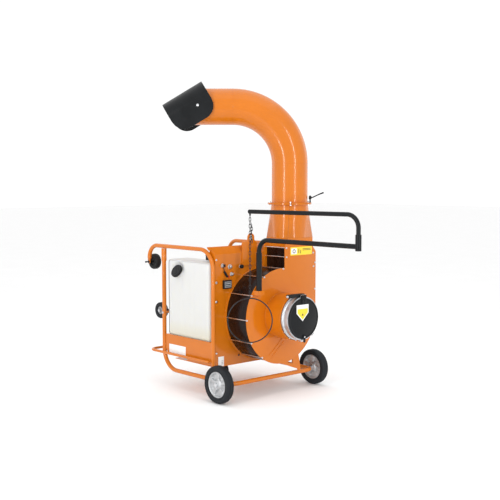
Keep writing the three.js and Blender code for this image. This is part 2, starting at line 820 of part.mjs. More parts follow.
// ---- loading rollers ----
for (const [name, side] of Object.entries(SIDES)) {
  const x = side * ROLLER_X;
  add(`upper_roller_${name}`, roller(x, ...UPPER_ROLLER, ROLLER_R, ROLLER_W), BLACK());
  add(`lower_roller_${name}`, roller(x, ...LOWER_ROLLER, ROLLER_R + 2, ROLLER_W), RUBBER());
}

// ---- spout, in its own turned frame: +X runs to the mouth, the swivel axis is Z ----
const spout = new THREE.Group();
spout.position.set(SPOUT_X, SPOUT_Y, 0);
spout.rotation.z = THREE.MathUtils.degToRad(SPOUT_TURN);
machine.add(spout);

function spoutPipe() {
  const pipe = tube(
    [
      [0, 0, FLANGE_Z + GAP],
      [0, 0, SPOUT_Z, ELBOW_R],
      [HOOD_PIVOT + 38, 0, SPOUT_Z],
    ],
    PIPE_R,
    { bore: PIPE_R - PIPE_T, sides: 28, step: 12 },
  );
  const flange = turned(
    [
      [PIPE_R - 1, 0],
      [FLANGE_R, 0],
      [FLANGE_R, 6],
      [PIPE_R - 1, 6],
    ],
    [0, 0, 1],
    [0, 0, FLANGE_Z + GAP],
    36,
  );
  const pins = Object.values(SIDES).map((side) =>
    bar(
      [HOOD_PIVOT, side * (PIPE_R - 2), SPOUT_Z],
      [HOOD_PIVOT, side * (HOOD_HALF + 7), SPOUT_Z],
      7,
      12,
    ),
  );
  return join(pipe, flange, ...pins);
}
add("spout_pipe", spoutPipe(), ORANGE(), spout);

const LEVER = { x: -143, z: FLANGE_Z + 6 + 2 * GAP };
add(
  "clamp_lever",
  join(
    bar([LEVER.x, 0, LEVER.z], [LEVER.x, 0, LEVER.z + 50], 7, 12),
    bar([LEVER.x, 0, LEVER.z + 22], [LEVER.x - 92, 0, LEVER.z + 66], 5, 10),
  ),
  BLACK(),
  spout,
);

// The hood: an arched top on flat cheeks, built level about its pivot and then tilted.
const hoodFrame = new THREE.Group();
hoodFrame.position.set(HOOD_PIVOT, 0, SPOUT_Z);
hoodFrame.rotation.y = THREE.MathUtils.degToRad(HOOD_TILT);
spout.add(hoodFrame);

function hood() {
  const [rear, front, foot, crease, round] = [-105, 208, -104, 25, 97];
  const arch = (half, rise, low) => {
    const shape = new THREE.Path();
    shape.moveTo(half, low);
    shape.lineTo(half, crease);
    shape.absellipse(0, crease, half, rise, 0, Math.PI, false, 0);
    shape.lineTo(-half, low);
    return shape;
  };
  const inner = HOOD_HALF - HOOD_T;
  const outside = new THREE.Shape(arch(HOOD_HALF, HOOD_HALF - crease, foot).getPoints(12));
  const inside = new THREE.Shape(arch(inner, inner - crease, foot - 5).getPoints(12));
  const long = { depth: front - rear, bevelEnabled: false };
  const deeper = { depth: front - rear + 10, bevelEnabled: false };
  const stand = (geometry, x) =>
    geometry.rotateX(Math.PI / 2).rotateZ(Math.PI / 2).translate(x, 0, 0);
  const shell = solid(stand(new THREE.ExtrudeGeometry(outside, long), rear)).subtract(
    solid(stand(new THREE.ExtrudeGeometry(inside, deeper), rear - 5)),
  );
  const side = new THREE.Shape();
  side.moveTo(rear, HOOD_HALF + 10);
  side.lineTo(rear, foot + round);
  side.absarc(rear + round, foot + round, round, Math.PI, 1.5 * Math.PI, false);
  side.absarc(front - round, foot + round, round, 1.5 * Math.PI, 2 * Math.PI, false);
  side.lineTo(front, HOOD_HALF + 10);
  const silhouette = platedY(side, -HOOD_HALF - 5, 2 * HOOD_HALF + 10, 8);
  const holes = bar([0, -HOOD_HALF - 5, 0], [0, HOOD_HALF + 5, 0], 7.4, 16);
  return geometryOf(shell.intersect(solid(silhouette)).subtract(solid(holes)));
}
add("hood", hood(), BLACK(), hoodFrame);

// ---- boom ----
add(
  "boom_bracket",
  join(
    box([BOOM_X - 26, BOOM_X + 26], [BOOM_Y - 28, PLATE_FRONT - GAP], [704, BOOM_FOOT - GAP]),
    bar([BOOM_X, BOOM_Y, 720], [BOOM_X, BOOM_Y, 900], 12, 16),
  ),
  ORANGE(),
);

function lowerArm() {
  const arm = join(
    tube(
      [
        [BOOM_X, BOOM_Y, 960],
        [BOOM_X, BOOM_Y, ARM_Z, 80],
        [BOOM_X, ELBOW_Y + 6, ARM_Z],
      ],
      15.5,
    ),
    bar([BOOM_X, BOOM_Y, BOOM_FOOT], [BOOM_X, BOOM_Y, 985], 19),
    bar([BOOM_X, ELBOW_Y, 1044], [BOOM_X, ELBOW_Y, 1141], 18.5),
  );
  return cut(
    arm,
    bar([BOOM_X, BOOM_Y, BOOM_FOOT - 10], [BOOM_X, BOOM_Y, 910], 13, 16),
    bar([BOOM_X, ELBOW_Y, 1060], [BOOM_X, ELBOW_Y, 1150], 14.6, 16),
  );
}
add("boom_lower_arm", lowerArm(), BLACK());

function upperArm() {
  const reach = Math.hypot(TIP_X - BOOM_X, TIP_Y - ELBOW_Y);
  const end = 12 / reach; // the arm runs on a little past the chain
  const past = [TIP_X + end * (TIP_X - BOOM_X), TIP_Y + end * (TIP_Y - ELBOW_Y)];
  return join(
    tube(
      [
        [BOOM_X, ELBOW_Y, 1062],
        [BOOM_X, ELBOW_Y, UPPER_ARM_Z, 80],
        [...past, UPPER_ARM_Z],
      ],
      13.8,
    ),
    bar([TIP_X, TIP_Y, UPPER_ARM_Z - 5], [TIP_X, TIP_Y, CHAIN_TOP + 3], 5, 10),
  );
}
add("boom_upper_arm", upperArm(), BLACK());
add("hose_chain", bar([TIP_X, TIP_Y, CHAIN_END], [TIP_X, TIP_Y, CHAIN_TOP], 7, 8), BLACK());

const hoop = new THREE.TorusGeometry(HOOP_R, HOOP_ROD_R, 6, 32);
const towardsFront = Math.atan2(0.669, 0.743);
hoop.rotateX(Math.PI / 2).rotateZ(-towardsFront);
hoop.translate(TIP_X, TIP_Y, CHAIN_END - 1.5 - HOOP_ROD_R - HOOP_R);
add("hose_ring", hoop, BLACK());

// ---- origin at the middle of the underside ----
machine.updateMatrixWorld(true);
const extent = new THREE.Box3().setFromObject(machine, true);
const middle = extent.getCenter(new THREE.Vector3());
machine.position.set(-middle.x, -middle.y, -extent.min.z);

export default machine;
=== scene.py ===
import math

import bmesh
import bpy
from mathutils import Matrix, Vector


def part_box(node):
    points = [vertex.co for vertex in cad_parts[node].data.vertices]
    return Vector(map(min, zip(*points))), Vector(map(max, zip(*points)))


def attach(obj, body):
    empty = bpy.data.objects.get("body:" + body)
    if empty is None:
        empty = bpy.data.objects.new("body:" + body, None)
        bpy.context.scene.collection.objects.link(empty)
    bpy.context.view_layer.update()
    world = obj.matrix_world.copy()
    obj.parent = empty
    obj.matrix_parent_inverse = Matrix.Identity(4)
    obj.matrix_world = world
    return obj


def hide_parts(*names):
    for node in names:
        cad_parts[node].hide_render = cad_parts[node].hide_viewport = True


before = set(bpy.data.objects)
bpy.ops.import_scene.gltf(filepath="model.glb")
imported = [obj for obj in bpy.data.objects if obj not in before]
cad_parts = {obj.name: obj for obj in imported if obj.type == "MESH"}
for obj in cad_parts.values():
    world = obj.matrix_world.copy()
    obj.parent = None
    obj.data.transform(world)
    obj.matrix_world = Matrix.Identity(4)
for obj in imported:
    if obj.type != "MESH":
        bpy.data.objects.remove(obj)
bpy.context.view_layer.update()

# ---------------------------------------------------------------------------------------------
# The machine frame, in millimetres: its origin is on the ground midway between the front wheels,
# +X is the machine's right, -Y its front. M() turns such a point into the row frame, in metres.
# ---------------------------------------------------------------------------------------------
MM = 0.001


def middle(node):
    low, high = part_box(node)
    return (Vector(low) + Vector(high)) / 2


def size(node):
    low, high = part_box(node)
    return (Vector(high) - Vector(low)) / MM


ORIGIN = (middle("wheel_left_tyre") + middle("wheel_right_tyre")) / 2
ORIGIN.z = 0


def M(x, y, z):
    return ORIGIN + Vector((x, y, z)) * MM


def machine(node):
    """A node's box in the machine frame: low and high corners in millimetres."""
    low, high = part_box(node)
    return (Vector(low) - ORIGIN) / MM, (Vector(high) - ORIGIN) / MM


def centre_of(node):
    """The middle of a node's box in the machine frame."""
    return (middle(node) - ORIGIN) / MM


SIDES = {"left": -1, "right": 1}
X, Y, Z = Vector((1, 0, 0)), Vector((0, 1, 0)), Vector((0, 0, 1))

# Driving dimensions: read from the frame's nodes where a node shows them, else the CAD's own numbers
WHEEL_R = size("wheel_left_tyre").z / 2
WHEEL_X = centre_of("wheel_right_tyre").x
WHEEL_HALF = size("wheel_left_tyre").x / 2
RIM_R = size("wheel_left_rim").z / 2
TUBE_R = 15
TOP_TUBE_R = 14.5
FRAME_X = machine("base_frame")[1].x - TUBE_R - 3.5
FRAME_Z = machine("base_frame")[0].z + TUBE_R
FRAME_FRONT = machine("base_frame")[0].y + TUBE_R
FRAME_REAR = 680
PIN_R = 7.8
TOP_TUBE_Z = machine("top_frame_left")[1].z - TOP_TUBE_R
POST_Y = machine("top_frame_left")[0].y + TOP_TUBE_R
HANDLE_Y = 855
FAN_X, FAN_Z = centre_of("inlet_neck").x, centre_of("inlet_neck").z
FAN = (FAN_X, 0, FAN_Z)
PLATE_FRONT = machine("volute_front_plate")[0].y
PLATE_T = size("volute_front_plate").y
VOLUTE_LOW, VOLUTE_HIGH = machine("volute_front_plate")
VOLUTE_X = (VOLUTE_LOW.x + VOLUTE_HIGH.x) / 2
PLATE_R = VOLUTE_HIGH.x - VOLUTE_X
VOLUTE_Z = VOLUTE_LOW.z + PLATE_R
WALL_FRONT = machine("front_wall")[0].y
REAR_PLATE_Y = WALL_FRONT - 0.3 - PLATE_T
LINER_LOW, LINER_HIGH = machine("volute_liner")
LINER_R = VOLUTE_X - LINER_LOW.x
LINER_T = 5
LINER_RIGHT = 361
LINER_BEND_Z = 965
DUCT_LEFT, DUCT_RIGHT = 105, 345
SPOUT_X = (DUCT_LEFT + DUCT_RIGHT) / 2
SPOUT_Y = centre_of("discharge_transition").y
DUCT_TOP = 1065
FLANGE_Z = machine("discharge_transition")[1].z
FLANGE_R = size("discharge_transition").x / 2
PIPE_R = 125
SPOUT_TURN = math.radians(138)
ELBOW_R = 392
SPOUT_Z = machine("spout_pipe")[1].z - PIPE_R
HOOD_PIVOT = 630
HOOD_TILT = math.radians(31)
HOOD_HALF = 139
NECK_R = size("inlet_neck").x / 2
NECK_FRONT = machine("inlet_neck")[0].y
RING_FRONT = machine("inlet_ring")[0].y
COVER_FRONT = RING_FRONT - 8
BOOM_X = centre_of("boom_lower_arm").x
BOOM_Y = -110
BOOM_FOOT = machine("boom_lower_arm")[0].z
ARM_Z = 1070
ELBOW_Y = -972
UPPER_ARM_Z = machine("boom_upper_arm")[1].z - 13.8
TIP = centre_of("hose_chain")
CHAIN_END = machine("hose_chain")[0].z
HOOP_R = 144.5
ROLLER_R = size("upper_roller_left").z / 2
LOWER_ROLLER_R = size("lower_roller_left").z / 2


# ---------------------------------------------------------------------------------------------
# Shapes: each returns (points in millimetres, faces)
# ---------------------------------------------------------------------------------------------
def merge(*shapes):
    points, faces = [], []
    for more_points, more_faces in shapes:
        start = len(points)
        points += [Vector(p) for p in more_points]
        faces += [[start + i for i in face] for face in more_faces]
    return points, faces


def turn_to(axis):
    """A rotation that takes +Z to an axis."""
    return Z.rotation_difference(Vector(axis).normalized()).to_matrix()


def placed(shape, rotation=None, offset=(0, 0, 0)):
    rotation = rotation or Matrix.Identity(3)
    return [rotation @ Vector(p) + Vector(offset) for p in shape[0]], shape[1]


def block(x, y, z):
    points = [(a, b, c) for a in x for b in y for c in z]
    faces = [(0, 1, 3, 2), (4, 6, 7, 5), (0, 4, 5, 1), (2, 3, 7, 6), (0, 2, 6, 4), (1, 5, 7, 3)]
    return points, faces


def revolve(profile, axis=Z, centre=(0, 0, 0), segments=64):
    """Turns (radius, height) points about an axis; a profile that closes on itself makes a ring."""
    points, faces = [], []
    for i in range(segments):
        turn = 2 * math.pi * i / segments
        points += [(r * math.cos(turn), r * math.sin(turn), h) for r, h in profile]
    n = len(profile)
    for i in range(segments):
        j = (i + 1) % segments
        for k in range(n - 1):
            faces.append((i * n + k, j * n + k, j * n + k + 1, i * n + k + 1))
    return placed((points, faces), turn_to(axis), centre)


def ring_profile(inner, outer, low, high, round_by=1.0):
    c = min(round_by, (outer - inner) / 2.01, (high - low) / 2.01)
    return [(inner, low + c), (inner + c, low), (outer - c, low), (outer, low + c), (outer, high - c),
            (outer - c, high), (inner + c, high), (inner, high - c), (inner, low + c)]


def rod(start, end, radius, segments=24, chamfer=0.8):
    start, end = Vector(start), Vector(end)
    length = (end - start).length
    c = min(chamfer, radius / 2, length / 4)
    profile = [(0, 0), (radius - c, 0), (radius, c), (radius, length - c), (radius - c, length), (0, length)]
    return revolve(profile, end - start, start, segments)


def bent(corners, step=5):
    """Corner points (x, y, z) or (x, y, z, bend radius) turned into points along lines and arcs."""
    points = [Vector(corners[0][:3])]
    for before, corner, after in zip(corners, corners[1:], corners[2:]):
        here, radius = Vector(corner[:3]), corner[3]
        into = (here - Vector(before[:3])).normalized()
        out = (Vector(after[:3]) - here).normalized()
        angle = into.angle(out)
        first = here - into * radius * math.tan(angle / 2)
        inward = (out - into * out.dot(into)).normalized()
        centre = first + inward * radius
        count = max(2, math.ceil(math.degrees(angle) / step))
        for k in range(count + 1):
            turn = angle * k / count
            points.append(centre + radius * (into * math.sin(turn) - inward * math.cos(turn)))
    points.append(Vector(corners[-1][:3]))
    return points


def sweep(points, radius, sides=24, bore=0, closed=False, round_end=1.5):
    """A round tube along points. radius may be a function of the share of the route covered."""
    points = [Vector(p) for p in points]
    count = len(points)
    if closed:
        tangents = [(points[(i + 1) % count] - points[i - 1]).normalized() for i in range(count)]
    else:
        steps = [(b - a).normalized() for a, b in zip(points, points[1:])]
        middles = [(a + b).normalized() for a, b in zip(steps, steps[1:])]
        tangents = [steps[0], *middles, steps[-1]]
    side = tangents[0].orthogonal().normalized()
    frames = []
    for i, tangent in enumerate(tangents):
        side = (side - tangent * side.dot(tangent)).normalized()
        frames.append((side.copy(), tangent.cross(side)))
    verts, faces = [], []

    def circle(i, r, shift=0.0):
        a, b = frames[i]
        base = points[i] + tangents[i] * shift
        for k in range(sides):
            turn = 2 * math.pi * k / sides
            verts.append(base + r * (a * math.cos(turn) + b * math.sin(turn)))

    share = (lambda i: radius(i / (count - 1))) if callable(radius) else (lambda i: radius)
    rings = []
    if closed:
        for i in range(count):
            circle(i, share(i))
        rings = list(range(count)) + [0]
    else:
        c = round_end
        if bore:
            circle(0, bore, c)
            circle(0, bore + c / 2)
        circle(0, share(0) - c)
        circle(0, share(0), c)
        for i in range(1, count - 1):
            circle(i, share(i))
        circle(count - 1, share(count - 1), -c)
        circle(count - 1, share(count - 1) - c)
        if bore:
            circle(count - 1, bore + c / 2)
            for i in range(count - 1, 0, -1):
                circle(i, bore, -c if i == count - 1 else 0)
        total = len(verts) // sides
        rings = list(range(total)) + ([0] if bore else [])
    for a, b in zip(rings, rings[1:]):
        for k in range(sides):
            j = (k + 1) % sides
            faces.append((a * sides + k, a * sides + j, b * sides + j, b * sides + k))
    if not bore and not closed:
        faces.append(tuple(range(sides - 1, -1, -1)))
        last = (len(verts) // sides - 1) * sides
        faces.append(tuple(range(last, last + sides)))
    return verts, faces


def arc(cx, cy, radius, start, end, count=24, squash=1.0):
    """Points along an arc, angles in degrees."""
    turns = [math.radians(start + (end - start) * i / count) for i in range(count + 1)]
    return [(cx + radius * math.cos(t), cy + radius * squash * math.sin(t)) for t in turns]


def circle_points(cx, cy, radius, count=48):
    return arc(cx, cy, radius, 0, 360, count)[:-1]


def turns(count):
    """Angles once round a circle, in radians."""
    return [2 * math.pi * k / count for k in range(count)]


def rectangle(across, up):
    """An outline from a span across and a span up."""
    (x0, x1), (z0, z1) = across, up
    return [(x0, z0), (x1, z0), (x1, z1), (x0, z1)]


def both_halves(profile):
    """Half a profile of (radius, distance) points, closed by its own mirror image."""
    return [*profile, *[(r, -d) for r, d in reversed(profile)], profile[0]]


def filled(outline, holes, depth, bevel=0.5):
    """A flat plate in X and Y from 0 to depth, with softened edges, from a filled outline."""
    curve = bpy.data.curves.new("outline", "CURVE")
    curve.dimensions = "2D"
    curve.fill_mode = "BOTH"
    for loop in [outline, *holes]:
        spline = curve.splines.new("POLY")
        spline.points.add(len(loop) - 1)
        for point, (a, b) in zip(spline.points, loop):
            point.co = (a, b, 0, 1)
        spline.use_cyclic_u = True
    curve.extrude = depth / 2 - bevel
    curve.bevel_depth = bevel
    curve.bevel_resolution = 1
    curve.offset = -bevel
    holder = bpy.data.objects.new("outline", curve)
    bpy.context.scene.collection.objects.link(holder)
    depsgraph = bpy.context.evaluated_depsgraph_get()
    mesh = bpy.data.meshes.new_from_object(holder.evaluated_get(depsgraph))
    points = [v.co + Vector((0, 0, depth / 2)) for v in mesh.vertices]
    faces = [tuple(p.vertices) for p in mesh.polygons]
    bpy.data.objects.remove(holder)
    bpy.data.curves.remove(curve)
    bpy.data.meshes.remove(mesh)
    return points, faces


def plate_y(outline, y, thickness, holes=(), bevel=0.5):
    """An outline in X and Z, thick along Y."""
    points, faces = filled(outline, holes, thickness, bevel)
    return [(p.x, y + p.z, p.y) for p in points], [face[::-1] for face in faces]


def plate_x(outline, x, thickness, holes=(), bevel=0.5):
    """An outline in Y and Z, thick along X."""
    points, faces = filled(outline, holes, thickness, bevel)
    return [(x + p.z, p.x, p.y) for p in points], faces


def bolt(centre, axis, across=13, height=6, washer=9, washer_t=1.6):
    """A flanged hex head standing on a surface at centre."""
    r = across / 2 / math.cos(math.pi / 6)
    top = washer_t + height
    head = [(0, washer_t), (r, washer_t), (r, top - 1), (r - 1.2, top), (0, top)]
    disc = [(0, 0), (washer, 0), (washer, washer_t * 0.6), (washer - 1, washer_t), (0, washer_t)]
    return merge(revolve(head, axis, centre, 6), revolve(disc, axis, centre, 20))


# ---------------------------------------------------------------------------------------------
# Materials
# ---------------------------------------------------------------------------------------------
def new_material(name):
    material = bpy.data.materials.new(name)
    material.use_nodes = True
    nodes = material.node_tree.nodes
    shader = nodes["Principled BSDF"]
    return material, nodes, material.node_tree.links, shader


def noise(nodes, links, scale, detail=4, stretch=(1, 1, 1), roughness=0.5):
    coords = nodes.new("ShaderNodeTexCoord")
    mapping = nodes.new("ShaderNodeMapping")
    mapping.inputs["Scale"].default_value = stretch
    texture = nodes.new("ShaderNodeTexNoise")
    texture.inputs["Scale"].default_value = scale
    texture.inputs["Detail"].default_value = detail
    texture.inputs["Roughness"].default_value = roughness
    links.new(coords.outputs["Object"], mapping.inputs["Vector"])
    links.new(mapping.outputs["Vector"], texture.inputs["Vector"])
    return texture.outputs["Fac"]


def ramp(nodes, links, factor, stops):
    node = nodes.new("ShaderNodeValToRGB")
    elements = node.color_ramp.elements
    while len(elements) < len(stops):
        elements.new(0.5)
    for element, (place, colour) in zip(elements, stops):
        element.position = place
        element.color = (*colour, 1)
    links.new(factor, node.inputs["Fac"])
    return node.outputs["Color"]


def bump(nodes, links, height, shader, strength, distance=0.0005):
    node = nodes.new("ShaderNodeBump")
    node.inputs["Strength"].default_value = strength
    node.inputs["Distance"].default_value = distance
    links.new(height, node.inputs["Height"])
    links.new(node.outputs["Normal"], shader.inputs["Normal"])


def shaded(colour, share):
    return tuple(c * share for c in colour)


def grey(value):
    return (value,) * 3


def surface(name, colour, rough, metallic=0.0, vary=0.08, scale=6, grain=900, grain_strength=0.1,
            stretch=(1, 1, 1), coat=0.0, coat_rough=0.1, specular=0.5, tint=None):
    """Colour and roughness drift over a slow noise, and a fine grain lifts the surface."""
    material, nodes, links, shader = new_material(name)
    slow = noise(nodes, links, scale, 5, stretch, 0.6)
    dark = tint or shaded(colour, 1 - vary)
    light = tuple(min(1, c * (1 + vary)) for c in colour)
    links.new(ramp(nodes, links, slow, [(0.3, dark), (0.7, light)]), shader.inputs["Base Color"])
    rough_ramp = ramp(nodes, links, slow, [(0.25, grey(rough * 0.82)), (0.75, grey(min(1, rough * 1.2)))])
    links.new(rough_ramp, shader.inputs["Roughness"])
    shader.inputs["Metallic"].default_value = metallic
    shader.inputs["Coat Weight"].default_value = coat
    shader.inputs["Coat Roughness"].default_value = coat_rough
    shader.inputs["Specular IOR Level"].default_value = specular
    bump(nodes, links, noise(nodes, links, grain, 3, stretch), shader, grain_strength)
    return material


ORANGE_COLOUR = (0.565, 0.150, 0.004)
ORANGE = surface("orange_powder_coat", ORANGE_COLOUR, 0.24, vary=0.045, scale=4, grain=420,
                 grain_strength=0.06, coat=0.35, coat_rough=0.05, specular=0.25)
ORANGE_WELD = surface("orange_weld", shaded(ORANGE_COLOUR, 0.85), 0.4, vary=0.15, scale=120, grain=500,
                      grain_strength=0.5)
BLACK = surface("black_powder_coat", (0.007, 0.008, 0.009), 0.34, vary=0.25, scale=8, grain=650,
                grain_strength=0.18, specular=0.18)
BLACK_STEEL = surface("black_chain_steel", (0.018, 0.018, 0.02), 0.32, metallic=0.5, vary=0.3, scale=60,
                      grain=700)
ZINC = surface("zinc_plate", (0.66, 0.67, 0.69), 0.3, metallic=1.0, vary=0.09, scale=30, grain=1200,
               grain_strength=0.08)
GALVANISED = surface("galvanised_sheet", (0.60, 0.62, 0.64), 0.36, metallic=1.0, vary=0.14, scale=45,
                     grain=300, grain_strength=0.12, tint=(0.50, 0.53, 0.57))
ALLOY = surface("cast_alloy", (0.52, 0.53, 0.54), 0.42, metallic=0.95, vary=0.12, scale=50, grain=520,
                grain_strength=0.3)
TYRE = surface("tyre_rubber", (0.014, 0.016, 0.019), 0.62, vary=0.25, scale=14, grain=800, grain_strength=0.3,
               specular=0.2)
ROLLER_RUBBER = surface("roller_rubber", (0.009, 0.009, 0.010), 0.55, vary=0.25, scale=20, grain=700,
                        grain_strength=0.25, specular=0.2)
PLASTIC = surface("black_moulded_plastic", (0.009, 0.010, 0.011), 0.42, vary=0.2, scale=12, grain=900,
                  grain_strength=0.22, specular=0.22)
GREY_PLASTIC = surface("grey_moulded_plastic", (0.22, 0.22, 0.23), 0.45, vary=0.1, scale=15, grain=900,
                       grain_strength=0.2)
PRINT = {"scale": 20, "grain": 1500, "grain_strength": 0.03}
YELLOW = surface("yellow_label", (0.85, 0.62, 0.03), 0.35, vary=0.03, **PRINT)
WHITE = surface("white_label", (0.80, 0.80, 0.79), 0.35, vary=0.02, **PRINT)
LABEL_BLACK = surface("label_ink", (0.02, 0.02, 0.02), 0.4, vary=0.1, **PRINT)
RED = surface("red_plastic", (0.5, 0.02, 0.015), 0.35, vary=0.08, scale=20, grain=900, grain_strength=0.1)
HEAT_STEEL = surface("heat_stained_steel", (0.36, 0.33, 0.30), 0.4, metallic=1.0, vary=0.22, scale=12,
                     grain=600, grain_strength=0.15, tint=(0.27, 0.24, 0.23))


def liner_material():
    """A dark brown rubbery sheet, with faint rolled streaks along its length."""
    material, nodes, links, shader = new_material("liner_rubber")
    streaks = noise(nodes, links, 5, 4, (1, 6, 1), 0.6)
    links.new(ramp(nodes, links, streaks, [(0.3, (0.005, 0.002, 0.0015)), (0.75, (0.013, 0.005, 0.004))]),
              shader.inputs["Base Color"])
    links.new(ramp(nodes, links, streaks, [(0.2, grey(0.2)), (0.8, grey(0.34))]), shader.inputs["Roughness"])
    shader.inputs["Specular IOR Level"].default_value = 0.2
    bump(nodes, links, noise(nodes, links, 9, 3, (1, 3, 1)), shader, 0.25, 0.004)
    return material


def tank_material():
    """Milky blow-moulded plastic: slightly yellow low down, where the fuel stands."""
    material, nodes, links, shader = new_material("tank_plastic")
    low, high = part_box("fuel_tank")
    coords = nodes.new("ShaderNodeTexCoord")
    split = nodes.new("ShaderNodeSeparateXYZ")
    level = nodes.new("ShaderNodeMapRange")
    level.inputs["From Min"].default_value = low[2]
    level.inputs["From Max"].default_value = high[2]
    wobble = nodes.new("ShaderNodeMath")
    wobble.operation = "MULTIPLY_ADD"
    wobble.inputs[1].default_value = 0.05
    links.new(coords.outputs["Object"], split.inputs["Vector"])
    links.new(split.outputs["Z"], level.inputs["Value"])
    links.new(noise(nodes, links, 5, 4), wobble.inputs[0])
    links.new(level.outputs["Result"], wobble.inputs[2])
    colours = [(0.05, (0.58, 0.545, 0.45)), (0.16, (0.60, 0.59, 0.53)), (0.24, (0.61, 0.61, 0.59)),
               (1.0, (0.62, 0.62, 0.61))]
    links.new(ramp(nodes, links, wobble.outputs["Value"], colours), shader.inputs["Base Color"])
    links.new(ramp(nodes, links, noise(nodes, links, 30, 3), [(0.3, grey(0.36)), (0.7, grey(0.5))]),
              shader.inputs["Roughness"])
    shader.inputs["Subsurface Weight"].default_value = 0.35
    shader.inputs["Subsurface Radius"].default_value = (0.02, 0.018, 0.012)
    bump(nodes, links, noise(nodes, links, 160, 3), shader, 0.12, 0.0008)
    return material


def window_material():
    material, nodes, links, shader = new_material("meter_window")
    stops = [(0.3, (0.05, 0.06, 0.065)), (0.7, (0.10, 0.11, 0.12))]
    links.new(ramp(nodes, links, noise(nodes, links, 40, 2), stops), shader.inputs["Base Color"])
    shader.inputs["Roughness"].default_value = 0.08
    return material


LINER = liner_material()
TANK = tank_material()
WINDOW = window_material()


# ---------------------------------------------------------------------------------------------
# Pieces
# ---------------------------------------------------------------------------------------------
def piece(name, shape, material, body="chassis", stands_for=(), bevel=0.0, sharp=38, subdivide=0):
    """A mesh object in the row frame from a shape in millimetres, riding on a body."""
    points, faces = shape
    mesh = bpy.data.meshes.new(name)
    mesh.from_pydata([tuple(M(*p)) for p in points], [], faces)
    work = bmesh.new()
    work.from_mesh(mesh)
    bmesh.ops.remove_doubles(work, verts=work.verts, dist=1e-6)
    bmesh.ops.dissolve_degenerate(work, edges=work.edges, dist=1e-7)
    bmesh.ops.recalc_face_normals(work, faces=work.faces)
    work.to_mesh(mesh)
    work.free()
    mesh.materials.append(material)
    mesh.polygons.foreach_set("use_smooth", [True] * len(mesh.polygons))
    mesh.set_sharp_from_angle(angle=math.radians(sharp))
    made = bpy.data.objects.new(name, mesh)
    bpy.context.scene.collection.objects.link(made)
    if bevel:
        soften(made, bevel)
    if subdivide:
        smooth = made.modifiers.new("smooth", "SUBSURF")
        smooth.levels = smooth.render_levels = subdivide
    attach(made, body)
    if stands_for:
        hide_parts(*stands_for)
    return made


def soften(made, width, segments=2):
    edge = made.modifiers.new("edge", "BEVEL")
    edge.width = width * MM
    edge.segments = segments
    edge.limit_method = "ANGLE"
    edge.angle_limit = math.radians(38)
    edge.harden_normals = False


def dress(node, material, bevel=0.8):
    """Keeps a CAD node and gives it a finish and softened edges."""
    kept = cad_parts[node]
    if not kept.material_slots:
        kept.data.materials.append(material)
    for slot in kept.material_slots:
        slot.material = material
    weld = kept.modifiers.new("weld", "WELD")
    weld.merge_threshold = 1e-5
    soften(kept, bevel)


def frame_pieces():
    post_top = 905
    sleeve_low, sleeve_high = 892, 980
    arm_inner, arm_outer = 291, 301
    bolt_seat = 350
    loop = sweep(bent([
        (-FRAME_X, FRAME_REAR, post_top),
        (-FRAME_X, FRAME_REAR, FRAME_Z, 140),
        (-FRAME_X, FRAME_FRONT, FRAME_Z, 60),
        (FRAME_X, FRAME_FRONT, FRAME_Z, 60),
        (FRAME_X, FRAME_REAR, FRAME_Z, 140),
        (FRAME_X, FRAME_REAR, post_top),
    ]), TUBE_R, 32)
    shapes = [loop]
    bolts = []
    _, y, z = centre_of("lower_roller_left")
    for side in SIDES.values():
        x = side * FRAME_X
        shapes.append(sweep([(x, FRAME_REAR, sleeve_low), (x, FRAME_REAR, sleeve_high)], TUBE_R + 3.5, 32,
                            round_end=1.2))
        shapes.append(sweep([(x, FRAME_REAR, z), (side * (arm_outer - 1), FRAME_REAR, z)], 8, 24))
        shapes.append(block(sorted((side * arm_inner, side * arm_outer)), (FRAME_REAR - 9, y + 13),
                            (z - 10, z + 10)))
        bolts.append(rod((side * (arm_inner - 1), y, z), (side * (bolt_seat + 2), y, z), PIN_R))
        bolts.append(bolt((side * bolt_seat, y, z), X * side, 13, 5, 10))
        bolts.append(bolt((side * arm_inner, y, z), X * -side, 13, 5, 10))
        bolts.append(bolt((x + side * 14.2, FRAME_REAR, z), X * side, 10, 4, 8))
    piece("base_frame_tubes", merge(*shapes), ORANGE, stands_for=("base_frame",))
    piece("lower_roller_bolts", merge(*bolts), ZINC)

    for name, side in SIDES.items():
        x = side * FRAME_X
        roller_x, y, z = centre_of(f"upper_roller_{name}")
        tube = sweep(bent([
            (x, POST_Y, FRAME_Z + TUBE_R + 0.3),
            (x, POST_Y, TOP_TUBE_Z, 135),
            (x, HANDLE_Y, TOP_TUBE_Z, 92),
            (x, HANDLE_Y, 898),
        ]), TOP_TUBE_R, 32)
        ear = [(y - 13, z + 32), *arc(y, z, 13, 180, 360, 14), (y + 13, z + 32)]
        piece(f"top_frame_{name}_tube", merge(tube, plate_x(ear, x - 3, 6)), ORANGE,
              stands_for=(f"top_frame_{name}",))
        nut = [(0, 0), (6.5, 0), (6.8, 4), (5.5, 8), (3, 10), (0, 10.5)]
        axle = merge(
            rod((x, y, z), (roller_x - side * 24, y, z), PIN_R),
            rod((x, y, z), (side * 408, y, z), 4.2),
            revolve(nut, X * side, (side * 403, y, z), 24),
            revolve(ring_profile(4, 10, 0, 4), X * side, (x + side * 3, y, z), 24),
        )
        piece(f"upper_roller_axle_{name}", axle, BLACK_STEEL)

    low, high = machine("foot_bar")
    bar_r = 9.5
    half, rear, z = high.x - bar_r, high.y - bar_r, (low.z + high.z) / 2
    route = bent([(-half, low.y, z), (-half, rear, z, 60), (half, rear, z, 60), (half, low.y, z)])
    pins = [rod((side * (FRAME_X + 14), FRAME_REAR, z), (side * (half - 7), FRAME_REAR, z), 6)
            for side in SIDES.values()]
    piece("foot_bar_tube", merge(sweep(route, bar_r, 24), *pins), ORANGE, stands_for=("foot_bar",))


